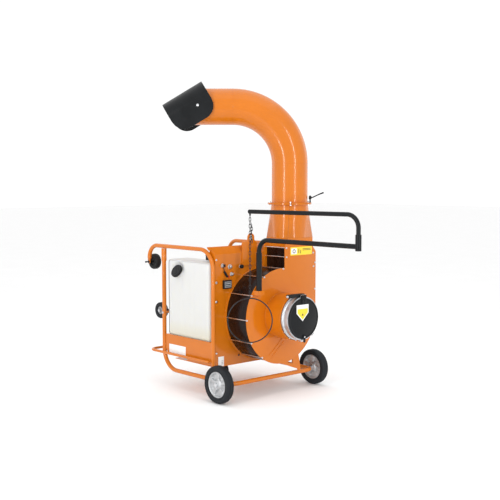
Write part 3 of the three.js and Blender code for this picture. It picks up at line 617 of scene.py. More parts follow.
def rim_face():
    """One face of a wheel's rim: five spokes between sunk pockets, and a raised lip."""
    rings, around = 34, 200
    points, faces = [], []
    for i in range(rings + 1):
        r = 15 + (RIM_R - 0.4 - 15) * i / rings
        for k in range(around):
            turn = 2 * math.pi * k / around
            spoke = abs(((turn * 5 / (2 * math.pi)) % 1) - 0.5) * 2
            reach = (r - 15) / (RIM_R - 15)
            middle_band = smooth_step(0.30, 0.40, reach) * (1 - smooth_step(0.80, 0.88, reach))
            pocket = smooth_step(0.26, 0.46, 1 - spoke - 0.1 + 0.12 * reach) * middle_band
            lip = smooth_step(0.88, 0.95, reach)
            hub = 1 - smooth_step(0.16, 0.3, reach)
            height = 13 + 7 * lip + 9 * hub - 12 * pocket
            points.append((r * math.cos(turn), r * math.sin(turn), height))
    for i in range(rings):
        for k in range(around):
            j = (k + 1) % around
            faces.append((i * around + k, i * around + j, (i + 1) * around + j, (i + 1) * around + k))
    # the outer band of the rim drops to the wheel's middle plane
    points += [(*Vector(p).xy, -0.2) for p in points[rings * around:]]
    points += [(*Vector(p).xy, -0.2) for p in points[:around]]
    outer, low = (rings + 1) * around, (rings + 2) * around
    for k in range(around):
        j = (k + 1) % around
        faces.append((rings * around + k, rings * around + j, outer + j, outer + k))
        faces.append((j, k, low + k, low + j))
    return points, faces


def smooth_step(start, end, value):
    t = min(1, max(0, (value - start) / (end - start)))
    return t * t * (3 - 2 * t)


def wheel_pieces():
    for name, side in SIDES.items():
        centre = Vector((side * WHEEL_X, 0, WHEEL_R))
        body = f"wheel_{name}"
        half, r = WHEEL_HALF, WHEEL_R
        wall = [(RIM_R + 0.5, -half + 10), (RIM_R + 4, -half + 3), (r * 0.80, -half + 1),
                (r * 0.83, -half + 2.5), (r * 0.86, -half + 0.4), (r * 0.92, -half), (r - 5, -half + 4),
                (r - 1.2, -half + 11), (r, -half + 18)]
        groove = [(r, -12), (r - 2, -11), (r - 2, -9), (r, -8)]
        tyre = revolve(both_halves([*wall, *groove]), X, centre, 96)
        piece(f"{body}_tyre_rubber", tyre, TYRE, body, (f"wheel_{name}_tyre",), sharp=50)
        faces = [placed(rim_face(), turn_to(X * side * way), centre) for way in (1, -1)]
        piece(f"{body}_rim_casting", merge(*faces), ALLOY, body, (f"wheel_{name}_rim",), sharp=50)
        cap = [(0, 27.5), (5, 27.5), (8, 27), (9, 25.5), (9, 23), (13, 22.6), (14.6, 21)]
        hub = merge(revolve([(14.8, 18), *reversed(cap)], X * side, centre, 40),
                    revolve(ring_profile(17, 20, 20, 24, 0.8), X * side, centre, 40),
                    revolve(ring_profile(12.6, 20, 20, 25, 1), X * -side, centre, 40))
        piece(f"{body}_hub_cap", hub, ZINC, body)
        studs = []
        for k in range(5):
            turn = 2 * math.pi * (k + 0.5) / 5
            spot = centre + turn_to(X * side) @ Vector((26 * math.cos(turn), 26 * math.sin(turn), 19.5))
            studs.append(bolt(spot, X * side, 7, 3, 5, 1))
        piece(f"{body}_studs", merge(*studs), ZINC, body)
        dress(f"axle_{name}", ZINC, 0.6)


def roller_pieces():
    for name in SIDES:
        for level, r, material in (("upper", ROLLER_R, ROLLER_RUBBER), ("lower", LOWER_ROLLER_R, TYRE)):
            body = f"{level}_roller_{name}"
            low, high = machine(body)
            centre = (low + high) / 2
            half = (high.x - low.x) / 2
            web = r * 0.52
            profile = [(8.6, -half + 4), (14, -half + 3), (16, -half + 6), (web, -half + 9),
                       (web + 2, -half + 3), (r - 9, -half), (r - 3, -half + 3), (r, -half + 10)]
            wheel = revolve(both_halves(profile), X, centre, 72)
            piece(f"{body}_wheel", wheel, material, body, (body,), sharp=45)
            if level == "lower":
                hub = [(8.7, half - 3), (15, half - 3), (17, half - 6), (web - 2, half - 8.4),
                       (web - 2, half - 9.2)]
                faces = [revolve(hub, X * way, centre, 48) for way in (1, -1)]
                piece(f"{body}_hub", merge(*faces), GREY_PLASTIC, body)


def castor_pieces():
    y, trail = 470, 40
    crown, plate_top = 190, 213
    low, high = machine("castor_wheel")
    centre = (low + high) / 2
    r, half = (high.z - low.z) / 2, (high.x - low.x) / 2
    leg = [(y - 26, crown + 4), (y + 26, crown + 4), (y + 24, crown - 40), (y + trail + 17, 86),
           *arc(y + trail, r, 14, 0, -180, 12), (y - 4, 140)]
    legs = merge(
        plate_x(leg, -30, 4), plate_x(leg, 26, 4),
        revolve([(0, 0), (33, 0), (34, 2), (34, 7), (29, 11.4), (0, 11.4)], Z, (0, y, crown), 48),
        block((-30, 30), (y - 24, y + 24), (crown - 3, crown + 2)),
    )
    piece("castor_fork_steel", legs, ZINC, "castor_swivel", ("castor_fork",), bevel=0.8)
    left, right = (-31, y + trail, r), (31, y + trail, r)
    axle = merge(rod(left, right, PIN_R), bolt(right, X, 13, 6, 9), bolt(left, -X, 13, 6, 9))
    piece("castor_axle_bolt", axle, ZINC, "castor_swivel")
    profile = [(8.4, -half + 3), (15, -half + 3), (17, -half + 8), (48, -half + 9), (52, -half + 2),
               (r - 10, -half), (r - 3, -half + 4), (r, -half + 12)]
    wheel = revolve(both_halves(profile), X, centre, 80)
    piece("castor_wheel_rubber", wheel, TYRE, "castor_roll", ("castor_wheel",), sharp=45)
    dress("castor_plate", ZINC)
    corners = [bolt((sx * 38, y + sy * 33, plate_top), Z, 13, 6, 9) for sx in (-1, 1) for sy in (-1, 1)]
    piece("castor_bolts", merge(*corners), ZINC)


def volute_outline():
    shoulder = 75
    meet = math.degrees(math.acos((shoulder - VOLUTE_X) / PLATE_R))
    return [*arc(VOLUTE_X, VOLUTE_Z, PLATE_R, meet, 360, 120), (VOLUTE_X + PLATE_R, LINER_BEND_Z),
            (DUCT_RIGHT, 1005), (DUCT_RIGHT, DUCT_TOP), (DUCT_LEFT, DUCT_TOP), (shoulder, 1003)]


def volute_point(radius, degrees):
    turn = math.radians(degrees)
    return VOLUTE_X + radius * math.cos(turn), VOLUTE_Z + radius * math.sin(turn)


# Where the spacer rods stand, in X and Z: seven round the fan, then two up each straight side
RODS = [*[volute_point(322, degrees) for degrees in (180, 150, 121, 88, 209, 235, -25)],
        (92, 937), (90, 1000), (350.5, 955), (355, 860)]


def liner_face(inset):
    """One face of the liner sheet: up the duct's left side, round the fan and up its right side."""
    radius, left, right, top = LINER_R - inset, DUCT_LEFT + inset, LINER_RIGHT - inset, LINER_HIGH.z
    start = math.degrees(math.acos((left - VOLUTE_X) / radius))
    end = 360 - math.degrees(math.acos((right - VOLUTE_X) / radius))
    return [(left, top), *arc(VOLUTE_X, VOLUTE_Z, radius, start, end, 140), (right, VOLUTE_Z + 80),
            (DUCT_RIGHT - inset, LINER_BEND_Z), (DUCT_RIGHT - inset, top)]


def volute_pieces():
    hole = circle_points(FAN_X, FAN_Z, 140, 96)
    piece("volute_front_sheet", plate_y(volute_outline(), PLATE_FRONT, PLATE_T, [hole], 0.8), ORANGE,
          stands_for=("volute_front_plate",))
    wall_edge = 363
    trimmed = [(min(x, wall_edge), z) for x, z in volute_outline()]
    rear = plate_y(trimmed, REAR_PLATE_Y, PLATE_T, [circle_points(FAN_X, FAN_Z, 30, 40)], 0.8)
    piece("volute_rear_sheet", rear, ORANGE, stands_for=("volute_rear_plate",))
    inside = PLATE_FRONT + PLATE_T + 0.2
    rods, heads = [], []
    for x, z in RODS:
        rods.append(rod((x, inside, z), (x, REAR_PLATE_Y - 0.2, z), 4, 20))
        heads.append(bolt((x, PLATE_FRONT, z), -Y, 9, 4, 6.5, 1.2))
    heads += [bolt((370, PLATE_FRONT, z), -Y, 9, 4, 6.5, 1.2) for z in (560, 700, 885)]
    piece("volute_spacer_rods", merge(*rods), ZINC)
    piece("volute_rod_bolts", merge(*heads), ZINC)

    outline = [*liner_face(0), *reversed(liner_face(LINER_T))]
    sheet = plate_y(outline, LINER_LOW.y, LINER_HIGH.y - LINER_LOW.y, bevel=0.4)
    piece("volute_liner_sheet", sheet, LINER, stands_for=("volute_liner",))
    # pressed ribs that run from the inlet neck to the lower left of the front plate
    start, end = Vector((70, 0, 384)), Vector((-61, 0, 269))
    along = (end - start).normalized()
    across = Vector((-along.z, 0, along.x))
    ribs = []
    for offset in (-13, 13):
        a = start + across * offset + along * (16 if offset > 0 else 0)
        b = end + across * offset
        ribs.append(sweep([(a.x, PLATE_FRONT - 0.5, a.z), (b.x, PLATE_FRONT - 0.5, b.z)], 3.2, 16))
    piece("volute_front_ribs", merge(*ribs), ORANGE)
    dress("volute_foot", ORANGE)
    dress("fan_impeller", BLACK, 1.0)
    dress("boom_bracket", ORANGE, 1.2)


def transition_pieces():
    """Square-to-round duct: flat triangles below, cone pieces to the round neck, an open skirt."""
    low = machine("discharge_transition")[0]
    foot = DUCT_TOP + 0.3
    front, back = PLATE_FRONT, WALL_FRONT - 0.3
    per_corner = 18
    around = 4 * per_corner

    def shell(inset, radius, base, top):
        corners = [(DUCT_RIGHT - inset, back - inset), (DUCT_LEFT + inset, back - inset),
                   (DUCT_LEFT + inset, front + inset), (DUCT_RIGHT - inset, front + inset)]
        points = [(x, y, base) for x, y in corners]
        points += [(SPOUT_X + radius * math.cos(turn), SPOUT_Y + radius * math.sin(turn), top)
                   for turn in turns(around)]
        faces = []
        for q in range(4):
            for k in range(per_corner):
                i = q * per_corner + k
                faces.append((q, 4 + (i + 1) % around, 4 + i))
            faces.append((q, (q + 1) % 4, 4 + ((q + 1) * per_corner) % around))
        return points, faces

    outer = shell(0, PIPE_R + 2, foot, FLANGE_Z - 6)
    inner = shell(4, PIPE_R - 2, foot, FLANGE_Z)
    n = len(outer[0])
    closing = [[q, (q + 1) % 4, n + (q + 1) % 4, n + q] for q in range(4)]
    for i in range(around):
        j = (i + 1) % around
        closing.append([4 + i, 4 + j, n + 4 + j, n + 4 + i])
    points, faces = merge(outer, inner)
    taper = (points, faces + closing)
    gap = 0.3
    skirt_low, skirt_high = PLATE_FRONT + PLATE_T + gap, REAR_PLATE_Y - gap
    walls = merge(block((DUCT_LEFT, DUCT_LEFT + 5), (skirt_low, skirt_high), (low.z, foot + 1)),
                  block((DUCT_RIGHT - 5, DUCT_RIGHT), (skirt_low, skirt_high), (low.z, foot + 1)))
    flange = revolve(ring_profile(PIPE_R - 1, FLANGE_R, FLANGE_Z - 6.6, FLANGE_Z, 1.2), Z,
                     (SPOUT_X, SPOUT_Y, 0), 96)
    piece("transition_duct", merge(taper, walls, flange), ORANGE, stands_for=("discharge_transition",),
          sharp=9)
    corner = Vector((DUCT_LEFT, front, foot))
    turn = math.radians(225)
    reach = PIPE_R + 2
    head = Vector((SPOUT_X + reach * math.cos(turn), SPOUT_Y + reach * math.sin(turn), FLANGE_Z - 6))
    piece("transition_seam", sweep([corner + Z * 2, head], 1.6, 12, round_end=0.5), ORANGE_WELD)
    # clips that hold the spout's flange down, fixed to the duct's flange from below
    clips = []
    for k in range(3):
        spin = math.radians(-90 + 120 * k - 42)
        out = Vector((math.cos(spin), math.sin(spin), 0))
        spot = Vector((SPOUT_X, SPOUT_Y, FLANGE_Z)) + out * (FLANGE_R + 5)
        clips.append(bolt(spot - Z * 7, -Z, 10, 5, 7))
        clips.append(rod(spot - Z * 8, spot + Z * 9, 3.2, 14))
        clips.append(bolt(spot + Z * 7.5, Z, 10, 5, 7))
        base = spot - out * 5
        clips.append(rod(base - Z * 4 - out * 6, spot - Z * 4 + out * 5, 3.4, 12))
    piece("flange_clip_bolts", merge(*clips), ZINC)


def on_spout(shape):
    """Turns a shape built along +X about the spout's axis to the way the spout points at rest."""
    return placed(shape, Matrix.Rotation(SPOUT_TURN, 3, "Z"), (SPOUT_X, SPOUT_Y, 0))


def spout_pieces():
    end = HOOD_PIVOT + 38
    route = bent([(0, 0, FLANGE_Z + 0.4), (0, 0, SPOUT_Z, ELBOW_R), (end, 0, SPOUT_Z)], 2.5)
    pipe = sweep(route, PIPE_R, 72, bore=PIPE_R - 3, round_end=1.0)
    flange = revolve(ring_profile(PIPE_R - 0.5, FLANGE_R, 0.3, 6.3, 1.2), Z, (0, 0, FLANGE_Z), 96)
    piece("spout_pipe_sheet", on_spout(merge(pipe, flange)), ORANGE, "spout", ("spout_pipe",))
    around = [(PIPE_R * math.cos(t), PIPE_R * math.sin(t)) for t in turns(96)]
    seams = [sweep([(a, b, SPOUT_Z - ELBOW_R) for a, b in around], 0.9, 8, closed=True),
             sweep([(ELBOW_R, a, SPOUT_Z + b) for a, b in around], 0.9, 8, closed=True),
             sweep([(a, b, FLANGE_Z + 7.5) for a, b in around], 2.0, 8, closed=True)]
    piece("spout_weld_seams", on_spout(merge(*seams)), ORANGE, "spout")
    pins = []
    for side in SIDES.values():
        inner, outer = side * (PIPE_R - 6), side * (HOOD_HALF + 2)
        pins.append(rod((HOOD_PIVOT, inner, SPOUT_Z), (HOOD_PIVOT, outer, SPOUT_Z), 6.6))
        cap = [(0, 8.5), (4, 8.3), (8, 6.5), (10.5, 3), (11, 0.6), (11, 0.3), (0, 0.3)]
        pins.append(revolve(cap, Y * side, (HOOD_PIVOT, side * HOOD_HALF, SPOUT_Z), 32))
    piece("hood_pivot_bolts", on_spout(merge(*pins)), ZINC, "spout")

    base = FLANGE_Z + 6.6
    x = -143
    stem = revolve([(0, 0), (7, 0), (7, 3), (5, 6), (5, 20), (9, 24), (10, 30), (9, 42), (6, 47), (0, 48)], Z,
                   (x, 0, base), 32)
    grip_route = [(x - out, 0, base + up) for out, up in ((0, 30), (20, 36), (45, 48), (70, 59), (94, 68))]
    grip = sweep(grip_route, lambda t: 5.2 - 1.6 * math.sin(math.pi * t) + 0.8 * t, 20, round_end=1.5)
    piece("clamp_lever_handle", on_spout(merge(stem, grip)), PLASTIC, "clamp_lever", ("clamp_lever",))


def hood_piece():
    """Arched sheet: flat cheeks up to a crease, then a rolled top, with rounded lower corners."""
    rear, front, foot, crease, corner = -105, 208, -104, 25, 97
    thickness = 3.5
    rise = HOOD_HALF - crease

    def section(inset):
        half = HOOD_HALF - inset
        top = [(half * math.cos(t), crease + (rise - inset) * math.sin(t))
               for t in (math.pi * k / 56 for k in range(57))]
        return [(half, foot), *top, (-half, foot)]

    lengths = [rear + (front - rear) * k / 60 for k in range(61)]

    def lowest(s):
        if s < rear + corner:
            return foot + corner - math.sqrt(max(0, corner ** 2 - (rear + corner - s) ** 2))
        if s > front - corner:
            return foot + corner - math.sqrt(max(0, corner ** 2 - (s - front + corner) ** 2))
        return foot

    points, faces = [], []
    cheek = [0.0, 0.25, 0.5, 0.75]

    def profile(base, s):
        low = lowest(s)
        right = [(base[1][0], low + (crease - low) * share) for share in cheek]
        left = [(base[-2][0], low + (crease - low) * share) for share in reversed(cheek)]
        return right + base[1:-1] + left

    for base in (section(0), section(thickness)):
        for s in lengths:
            points += [(s, a, b) for a, b in profile(base, s)]
    shift = len(points) // 2
    n = shift // len(lengths)
    for i in range(len(lengths) - 1):
        for k in range(n - 1):
            a, b = i * n + k, (i + 1) * n + k
            faces.append((a, b, b + 1, a + 1))
            faces.append((shift + a, shift + a + 1, shift + b + 1, shift + b))
        for k in (0, n - 1):
            a, b = i * n + k, (i + 1) * n + k
            faces.append((a, b, shift + b, shift + a))
    for i in (0, len(lengths) - 1):
        for k in range(n - 1):
            a = i * n + k
            faces.append((a, a + 1, shift + a + 1, shift + a))
    tilt = Matrix.Rotation(HOOD_TILT, 3, "Y")
    tilted = placed((points, faces), tilt, (HOOD_PIVOT, 0, SPOUT_Z))
    piece("hood_sheet", on_spout(tilted), BLACK, "hood", ("hood",), sharp=30)


def inlet_pieces():
    neck = ring_profile(NECK_R - 4, NECK_R, NECK_FRONT, PLATE_FRONT - 0.3, 1.2)
    bead = ring_profile(NECK_R - 1, NECK_R + 3, PLATE_FRONT - 5, PLATE_FRONT - 0.3, 1.8)
    lip = ring_profile(NECK_R - 2, NECK_R + 2.2, NECK_FRONT + 1, NECK_FRONT + 6, 1.5)
    shapes = [revolve(p, Y, FAN, 96) for p in (neck, bead, lip)]
    piece("inlet_neck_sheet", merge(*shapes), ORANGE, stands_for=("inlet_neck",))

    back = NECK_FRONT - 0.5
    r = 150
    lug_back, foot_back, arm_back, screw_y = -245, -252, -246, -241
    profile = [(r - 13, RING_FRONT), (r - 6, RING_FRONT), (r - 5, RING_FRONT + 1), (r - 5, RING_FRONT + 9),
               (r - 8, RING_FRONT + 11), (r - 8, back - 18), (r - 3, back - 15), (r - 0.6, back - 12),
               (r, back - 9), (r, back - 1), (r - 1, back), (r - 13, back), (r - 13, RING_FRONT)]
    bridge = [block((FAN_X - 20, FAN_X + 20), (RING_FRONT + 7, lug_back), (FAN_Z + r - 12, FAN_Z + r)),
              block((FAN_X - 11, FAN_X + 11), (RING_FRONT + 9, foot_back), (FAN_Z - 157, FAN_Z - 138))]
    piece("inlet_coupling_ring", revolve(profile, Y, FAN, 120), GALVANISED,
          stands_for=("inlet_ring",))
    piece("inlet_ring_lugs", merge(*bridge), ZINC, bevel=1.0)
    screws = []
    for degrees in (188, 214, 238, 262, 318, 342, 8, 36, 62, 118, 144, 166):
        turn = math.radians(degrees)
        out = Vector((math.cos(turn), 0, math.sin(turn)))
        spot = Vector((FAN_X, screw_y, FAN_Z)) + out * r
        screws.append(bolt(spot, out, 8, 3.5, 5.5, 1))
    piece("inlet_ring_screws", merge(*screws), ZINC)

    # safety switch box and hinge leaf on top of the ring
    top = FAN_Z + r
    switch = block((FAN_X - 122, FAN_X - 22), (RING_FRONT + 8, RING_FRONT + 38), (top - 8, top + 15))
    arm = block((FAN_X - 24, FAN_X + 22), (RING_FRONT + 7, arm_back), (top - 2, top + 14))
    piece("cover_switch_box", merge(switch, arm), PLASTIC, bevel=2.5)
    piece("cover_switch_bolt", bolt((FAN_X - 124, RING_FRONT + 22, top + 2), -X, 11, 7, 9), ZINC)
    pin_left, pin_right = ((FAN_X + x, RING_FRONT - 4, top + 6) for x in (-27, 22))
    piece("cover_hinge_pin", rod(pin_left, pin_right, 3.2), ZINC)

    front, seat = COVER_FRONT, RING_FRONT - 0.3
    disc = [(0, front), (118, front), (121, front + 1.2), (126, front + 1.2), (129, front), (135, front),
            (137, front + 1.5), (137, seat - 0.5), (136, seat), (0, seat)]
    leaf = [(FAN_X - 24, FAN_Z + 104), (FAN_X - 18, FAN_Z + 98), (FAN_X + 13, FAN_Z + 98),
            (FAN_X + 19, FAN_Z + 104), (FAN_X + 19, top + 8), (FAN_X - 24, top + 8)]
    shapes = [revolve(disc, Y, FAN, 96), plate_y(leaf, COVER_FRONT - 4, 11, bevel=1.2)]
    piece("inlet_cover_disc", merge(*shapes), BLACK, "cover", ("inlet_cover",))
    leaf_screws = [bolt((FAN_X + dx, COVER_FRONT - 4, FAN_Z + 118), -Y, 8, 3, 5.5, 1) for dx in (-13, 9)]
    piece("cover_leaf_screws", merge(*leaf_screws), BLACK_STEEL, "cover")
    label("cover_label", (FAN_X - 14, COVER_FRONT, FAN_Z + 52),
          [(-56, 42), (56, 42), (56, -14), (0, -68), (-56, -14)], "cover")
    latch = [(FAN_X - 9, FAN_Z - 112), (FAN_X - 9, FAN_Z - 152), *arc(FAN_X, FAN_Z - 152, 9, 180, 360, 10),
             (FAN_X + 9, FAN_Z - 112), *arc(FAN_X, FAN_Z - 120, 9, 40, 140, 6)]
    piece("cover_latch_tab", plate_y(latch, COVER_FRONT - 7, 6, bevel=1.4), BLACK, "latch", ("cover_latch",))
    piece("cover_latch_screw", bolt((FAN_X, COVER_FRONT - 7, FAN_Z - 122), -Y, 8, 3, 5.5, 1), ZINC, "latch")
    # toggle clamp on the lower right of the ring
    turn = math.radians(-50)
    out = Vector((math.cos(turn), 0, math.sin(turn)))
    spot = Vector(FAN) + out * (r + 4)
    side = Y.cross(out)
    loop = [spot + Y * a + side * b for a, b in ((-284, -9), (-284, 9), (-252, 9), (-248, 0), (-252, -9))]
    toggle = merge(sweep(loop, 2.2, 10, closed=True),
                   rod(spot - side * 13 + Y * -262, spot + side * 13 + Y * -262, 4),
                   rod(spot + Y * -280 + out * 2, spot + Y * -240 + out * 12, 3.4))
    piece("ring_toggle_clamp", toggle, ZINC)


# Layers of a label on a front face: how far each stands off the face, and its thickness
BACKING, FIELD, MARK = (0.7, 0.6), (1.1, 0.5), (1.5, 0.5)


def printed(outline, y, layer, holes=()):
    """One layer of a label, on a face that looks forward from y."""
    stand_off, thickness = layer
    return plate_y(outline, y - stand_off, thickness, holes, 0.1)


def label(name, centre, outline, body):
    """A generic label: a white backing, a yellow field and a plain triangle, with no lettering."""
    cx, cy, cz = centre
    backing = [(cx + a, cz + b) for a, b in outline]
    inset = [(cx + a * 0.86, cz + (b * 0.86 if b < 0 else b * 0.35)) for a, b in outline]
    piece(name + "_backing", printed(backing, cy, BACKING), WHITE, body)
    piece(name + "_field", printed(inset, cy, FIELD), YELLOW, body)
    mark = [(cx + a, cz + b) for a, b in ((-9, -30), (9, -30), (0, -16))]
    piece(name + "_mark", printed(mark, cy, MARK), LABEL_BLACK, body)


def plate_label():
    """A generic yellow strip high on the front plate: a white field, a ring and a few plain bars."""
    x0, x1, z0, z1 = 128, 338, 946, 1002
    y = PLATE_FRONT
    rounded = [*arc(x1 - 5, z1 - 5, 5, 0, 90, 4), *arc(x0 + 5, z1 - 5, 5, 90, 180, 4),
               *arc(x0 + 5, z0 + 5, 5, 180, 270, 4), *arc(x1 - 5, z0 + 5, 5, 270, 360, 4)]
    piece("front_label_strip", printed(rounded, y, BACKING), YELLOW)
    piece("front_label_field", printed(rectangle((x0 + 8, x0 + 62), (z0 + 8, z1 - 8)), y, FIELD), WHITE)
    bars = [rectangle((x0 + 78, x0 + 84), (z0 + 12, z0 + 44)),
            rectangle((x0 + 96, x0 + 102), (z0 + 10, z0 + 36)),
            rectangle((x0 + 118, x1 - 12), (z1 - 16, z1 - 12)),
            rectangle((x0 + 118, x1 - 12), (z1 - 25, z1 - 21))]
    ring, hole = (circle_points(x0 + 35, z0 + 28, radius, 28) for radius in (14, 9))
    marks = [*[printed(bar, y, FIELD) for bar in bars], printed(ring, y, MARK, [hole])]
    piece("front_label_marks", merge(*marks), LABEL_BLACK)


def boom_pieces():
    mast_top = 985
    socket_low, socket_high, collar_low = 1062, 1141, 1044
    route = bent([(BOOM_X, BOOM_Y, mast_top - 10), (BOOM_X, BOOM_Y, ARM_Z, 80), (BOOM_X, ELBOW_Y + 6, ARM_Z)])
    arm = merge(
        sweep(route, 15.5, 32),
        sweep([(BOOM_X, BOOM_Y, BOOM_FOOT), (BOOM_X, BOOM_Y, mast_top)], 19, 36, bore=13.2),
        sweep([(BOOM_X, ELBOW_Y, socket_low), (BOOM_X, ELBOW_Y, socket_high)], 18.5, 36, bore=14.5),
        revolve([(0, 0), (17, 0), (18.5, 1.5), (18.5, 18), (0, 18)], Z, (BOOM_X, ELBOW_Y, collar_low), 36),
    )
    piece("boom_lower_tube", arm, BLACK, "boom_lower", ("boom_lower_arm",))
    tip = Vector((TIP.x, TIP.y, UPPER_ARM_Z))
    along = (tip - Vector((BOOM_X, ELBOW_Y, UPPER_ARM_Z))).normalized()
    route = bent([(BOOM_X, ELBOW_Y, socket_low + 0.5), (BOOM_X, ELBOW_Y, UPPER_ARM_Z, 80), tip + along * 11])
    upper = sweep(route, 13.8, 32, round_end=4)
    eye = [Vector((math.cos(t) * 5.5, 0, math.sin(t) * 8)) + tip - Z * 20 for t in turns(20)]
    piece("boom_upper_tube", merge(upper, sweep(eye, 1.6, 10, closed=True)), BLACK, "boom_upper",
          ("boom_upper_arm",))


def link_shape(centre, turn, pitch=22, width=13, wire=2.1):
    """One chain link standing upright: two straights and two half turns."""
    r = width / 2 - wire / 2
    straight = pitch / 2 - r + wire
    route = [Vector((r * math.cos(t), 0, straight + r * math.sin(t))) for t in
             (math.pi * k / 8 for k in range(9))]
    route += [Vector((r * math.cos(t), 0, -straight + r * math.sin(t))) for t in
              (math.pi + math.pi * k / 8 for k in range(9))]
    return placed(sweep(route, wire, 10, closed=True), Matrix.Rotation(turn, 3, "Z"), centre)


def chain_pieces():
    top = UPPER_ARM_Z - 29
    bottom = CHAIN_END + 6
    spacing = 21.0
    count = int((top - bottom) / spacing)
    spacing = (top - bottom) / count
    links = []
    for k in range(count + 1):
        z = top - spacing * k
        turn = math.radians(42 + (90 if k % 2 else 0) + 6 * math.sin(2.3 * k))
        links.append(link_shape((TIP.x, TIP.y, z), turn))
    # spare links hooked back up beside the first ones
    for k in range(6):
        z = top - 62 - 20 * k
        sway = 9 + 2.5 * math.sin(1.7 * k)
        turn = math.radians(20 + 88 * (k % 2))
        links.append(link_shape((TIP.x + sway * 0.74, TIP.y - sway * 0.67, z), turn))
    piece("chain_links", merge(*links), BLACK_STEEL, "chain", ("hose_chain",))
    hook_top = top - 44
    hook = [Vector((TIP.x + 0.74 * a, TIP.y - 0.67 * a, hook_top + b)) for a, b in
            ((0, 12), (4, 9), (9, 4), (12, -3), (10, -10), (5, -12), (1, -8))]
    piece("chain_hook", sweep(hook, 2.4, 12, round_end=1), ZINC, "chain")
    centre = Vector((TIP.x, TIP.y, CHAIN_END - 5.5 - HOOP_R))
    in_plane = Vector((0.743, -0.669, 0))
    hoop = [centre + HOOP_R * (in_plane * math.cos(t) + Z * math.sin(t)) for t in turns(120)]
    joint = centre - Z * HOOP_R
    sleeve = sweep([joint - in_plane * 9 + Z * 0.25, joint, joint + in_plane * 9 + Z * 0.25], 5.2, 16)
    piece("hose_ring_rod", merge(sweep(hoop, 4, 14, closed=True), sleeve), BLACK_STEEL, "ring",
          ("hose_ring",))


def tank_piece():
    """Blow-moulded tank: full faces, soft corners, two shallow flutes, a sloping seat and its cap."""
    low, high = machine("fuel_tank")
    low.x = -398.0  # the flat face; the node's box also holds the filler, which stands out from it
    centre, half = (low + high) / 2, (high - low) / 2
    seat = Vector((-399, 494, 828))
    tilt = math.radians(32)
    axis = Vector((-math.cos(tilt), 0, math.sin(tilt)))
    grid = 44
    points, faces = [], []
    round_by = 24.0

    def rounded(p):
        """Pulls a point on the sharp box onto one with round edges."""
        core = Vector(tuple(max(-h + round_by, min(h - round_by, c)) for c, h in zip(p, half)))
        away = p - core
        if away.length < 1e-6:
            return p
        return core + away.normalized() * round_by

    for axis_index in range(3):
        for sign in (-1, 1):
            start = len(points)
            a_index, b_index = (axis_index + 1) % 3, (axis_index + 2) % 3
            for i in range(grid + 1):
                for j in range(grid + 1):
                    p = Vector((0, 0, 0))
                    p[axis_index] = sign * half[axis_index]
                    p[a_index] = (2 * i / grid - 1) * half[a_index]
                    p[b_index] = (2 * j / grid - 1) * half[b_index]
                    q = rounded(p)
                    # full faces: the broad sides sink a little towards their edges
                    u, v = q.y / half.y, q.z / half.z
                    if axis_index == 0:
                        fullness = (1 - u ** 4) * (1 - v ** 4)
                        q.x -= (1 - fullness) * 5 * sign
                        flute = math.exp(-((q.y + 70) / 16) ** 2) + math.exp(-((q.y - 60) / 16) ** 2)
                        if sign < 0:
                            q.x += 2.2 * flute * smooth_step(0, 0.25, 1 - abs(v))
                    world = q + centre
                    depth = (world - seat).dot(axis) + 6
                    away = (world - seat - axis * (world - seat).dot(axis)).length
                    if depth > 0 and away < 75:
                        world -= axis * depth * (1 - smooth_step(52, 75, away))
                    points.append(world)
            for i in range(grid):
                for j in range(grid):
                    k = start + i * (grid + 1) + j
                    face = (k, k + 1, k + grid + 2, k + grid + 1)
                    faces.append(face if sign < 0 else face[::-1])
    neck = revolve([(0, -12), (41, -12), (41, -4), (38, -3), (38, 2), (0, 2)], axis, seat, 64)
    piece("fuel_tank_moulding", (points, faces), TANK, stands_for=("fuel_tank",), sharp=60, subdivide=1)
    piece("fuel_tank_neck", neck, TANK)

    turns, tall = 144, 22
    cap_points, cap_faces = [], []
    profile = [(0, tall), (26, tall), (28, tall - 1.6), (38, tall - 1.6), (40, tall), (43.2, tall - 0.6),
               (45, tall - 2.4), (45.6, tall - 6), (46, 3), (45.4, 2.4), (0, 2.4)]
    for k in range(turns):
        turn = 2 * math.pi * k / turns
        grip = 1.6 * (0.5 + 0.5 * math.cos(turn * 36))
        for r, h in profile:
            r_here = r - (grip if r > 43 else 0)
            cap_points.append((r_here * math.cos(turn), r_here * math.sin(turn), h))
    n = len(profile)
    for k in range(turns):
        j = (k + 1) % turns
        for i in range(n - 1):
            cap_faces.append((k * n + i, j * n + i, j * n + i + 1, k * n + i + 1))
    grip_bar = placed(block((-24, 24), (-4.5, 4.5), (tall - 3, tall + 1.8)), Matrix.Rotation(0.6, 3, "Z"))
    cap = placed(merge((cap_points, cap_faces), grip_bar), turn_to(axis), seat)
    piece("fuel_cap_moulding", cap, PLASTIC, "cap", ("fuel_cap",), sharp=35)


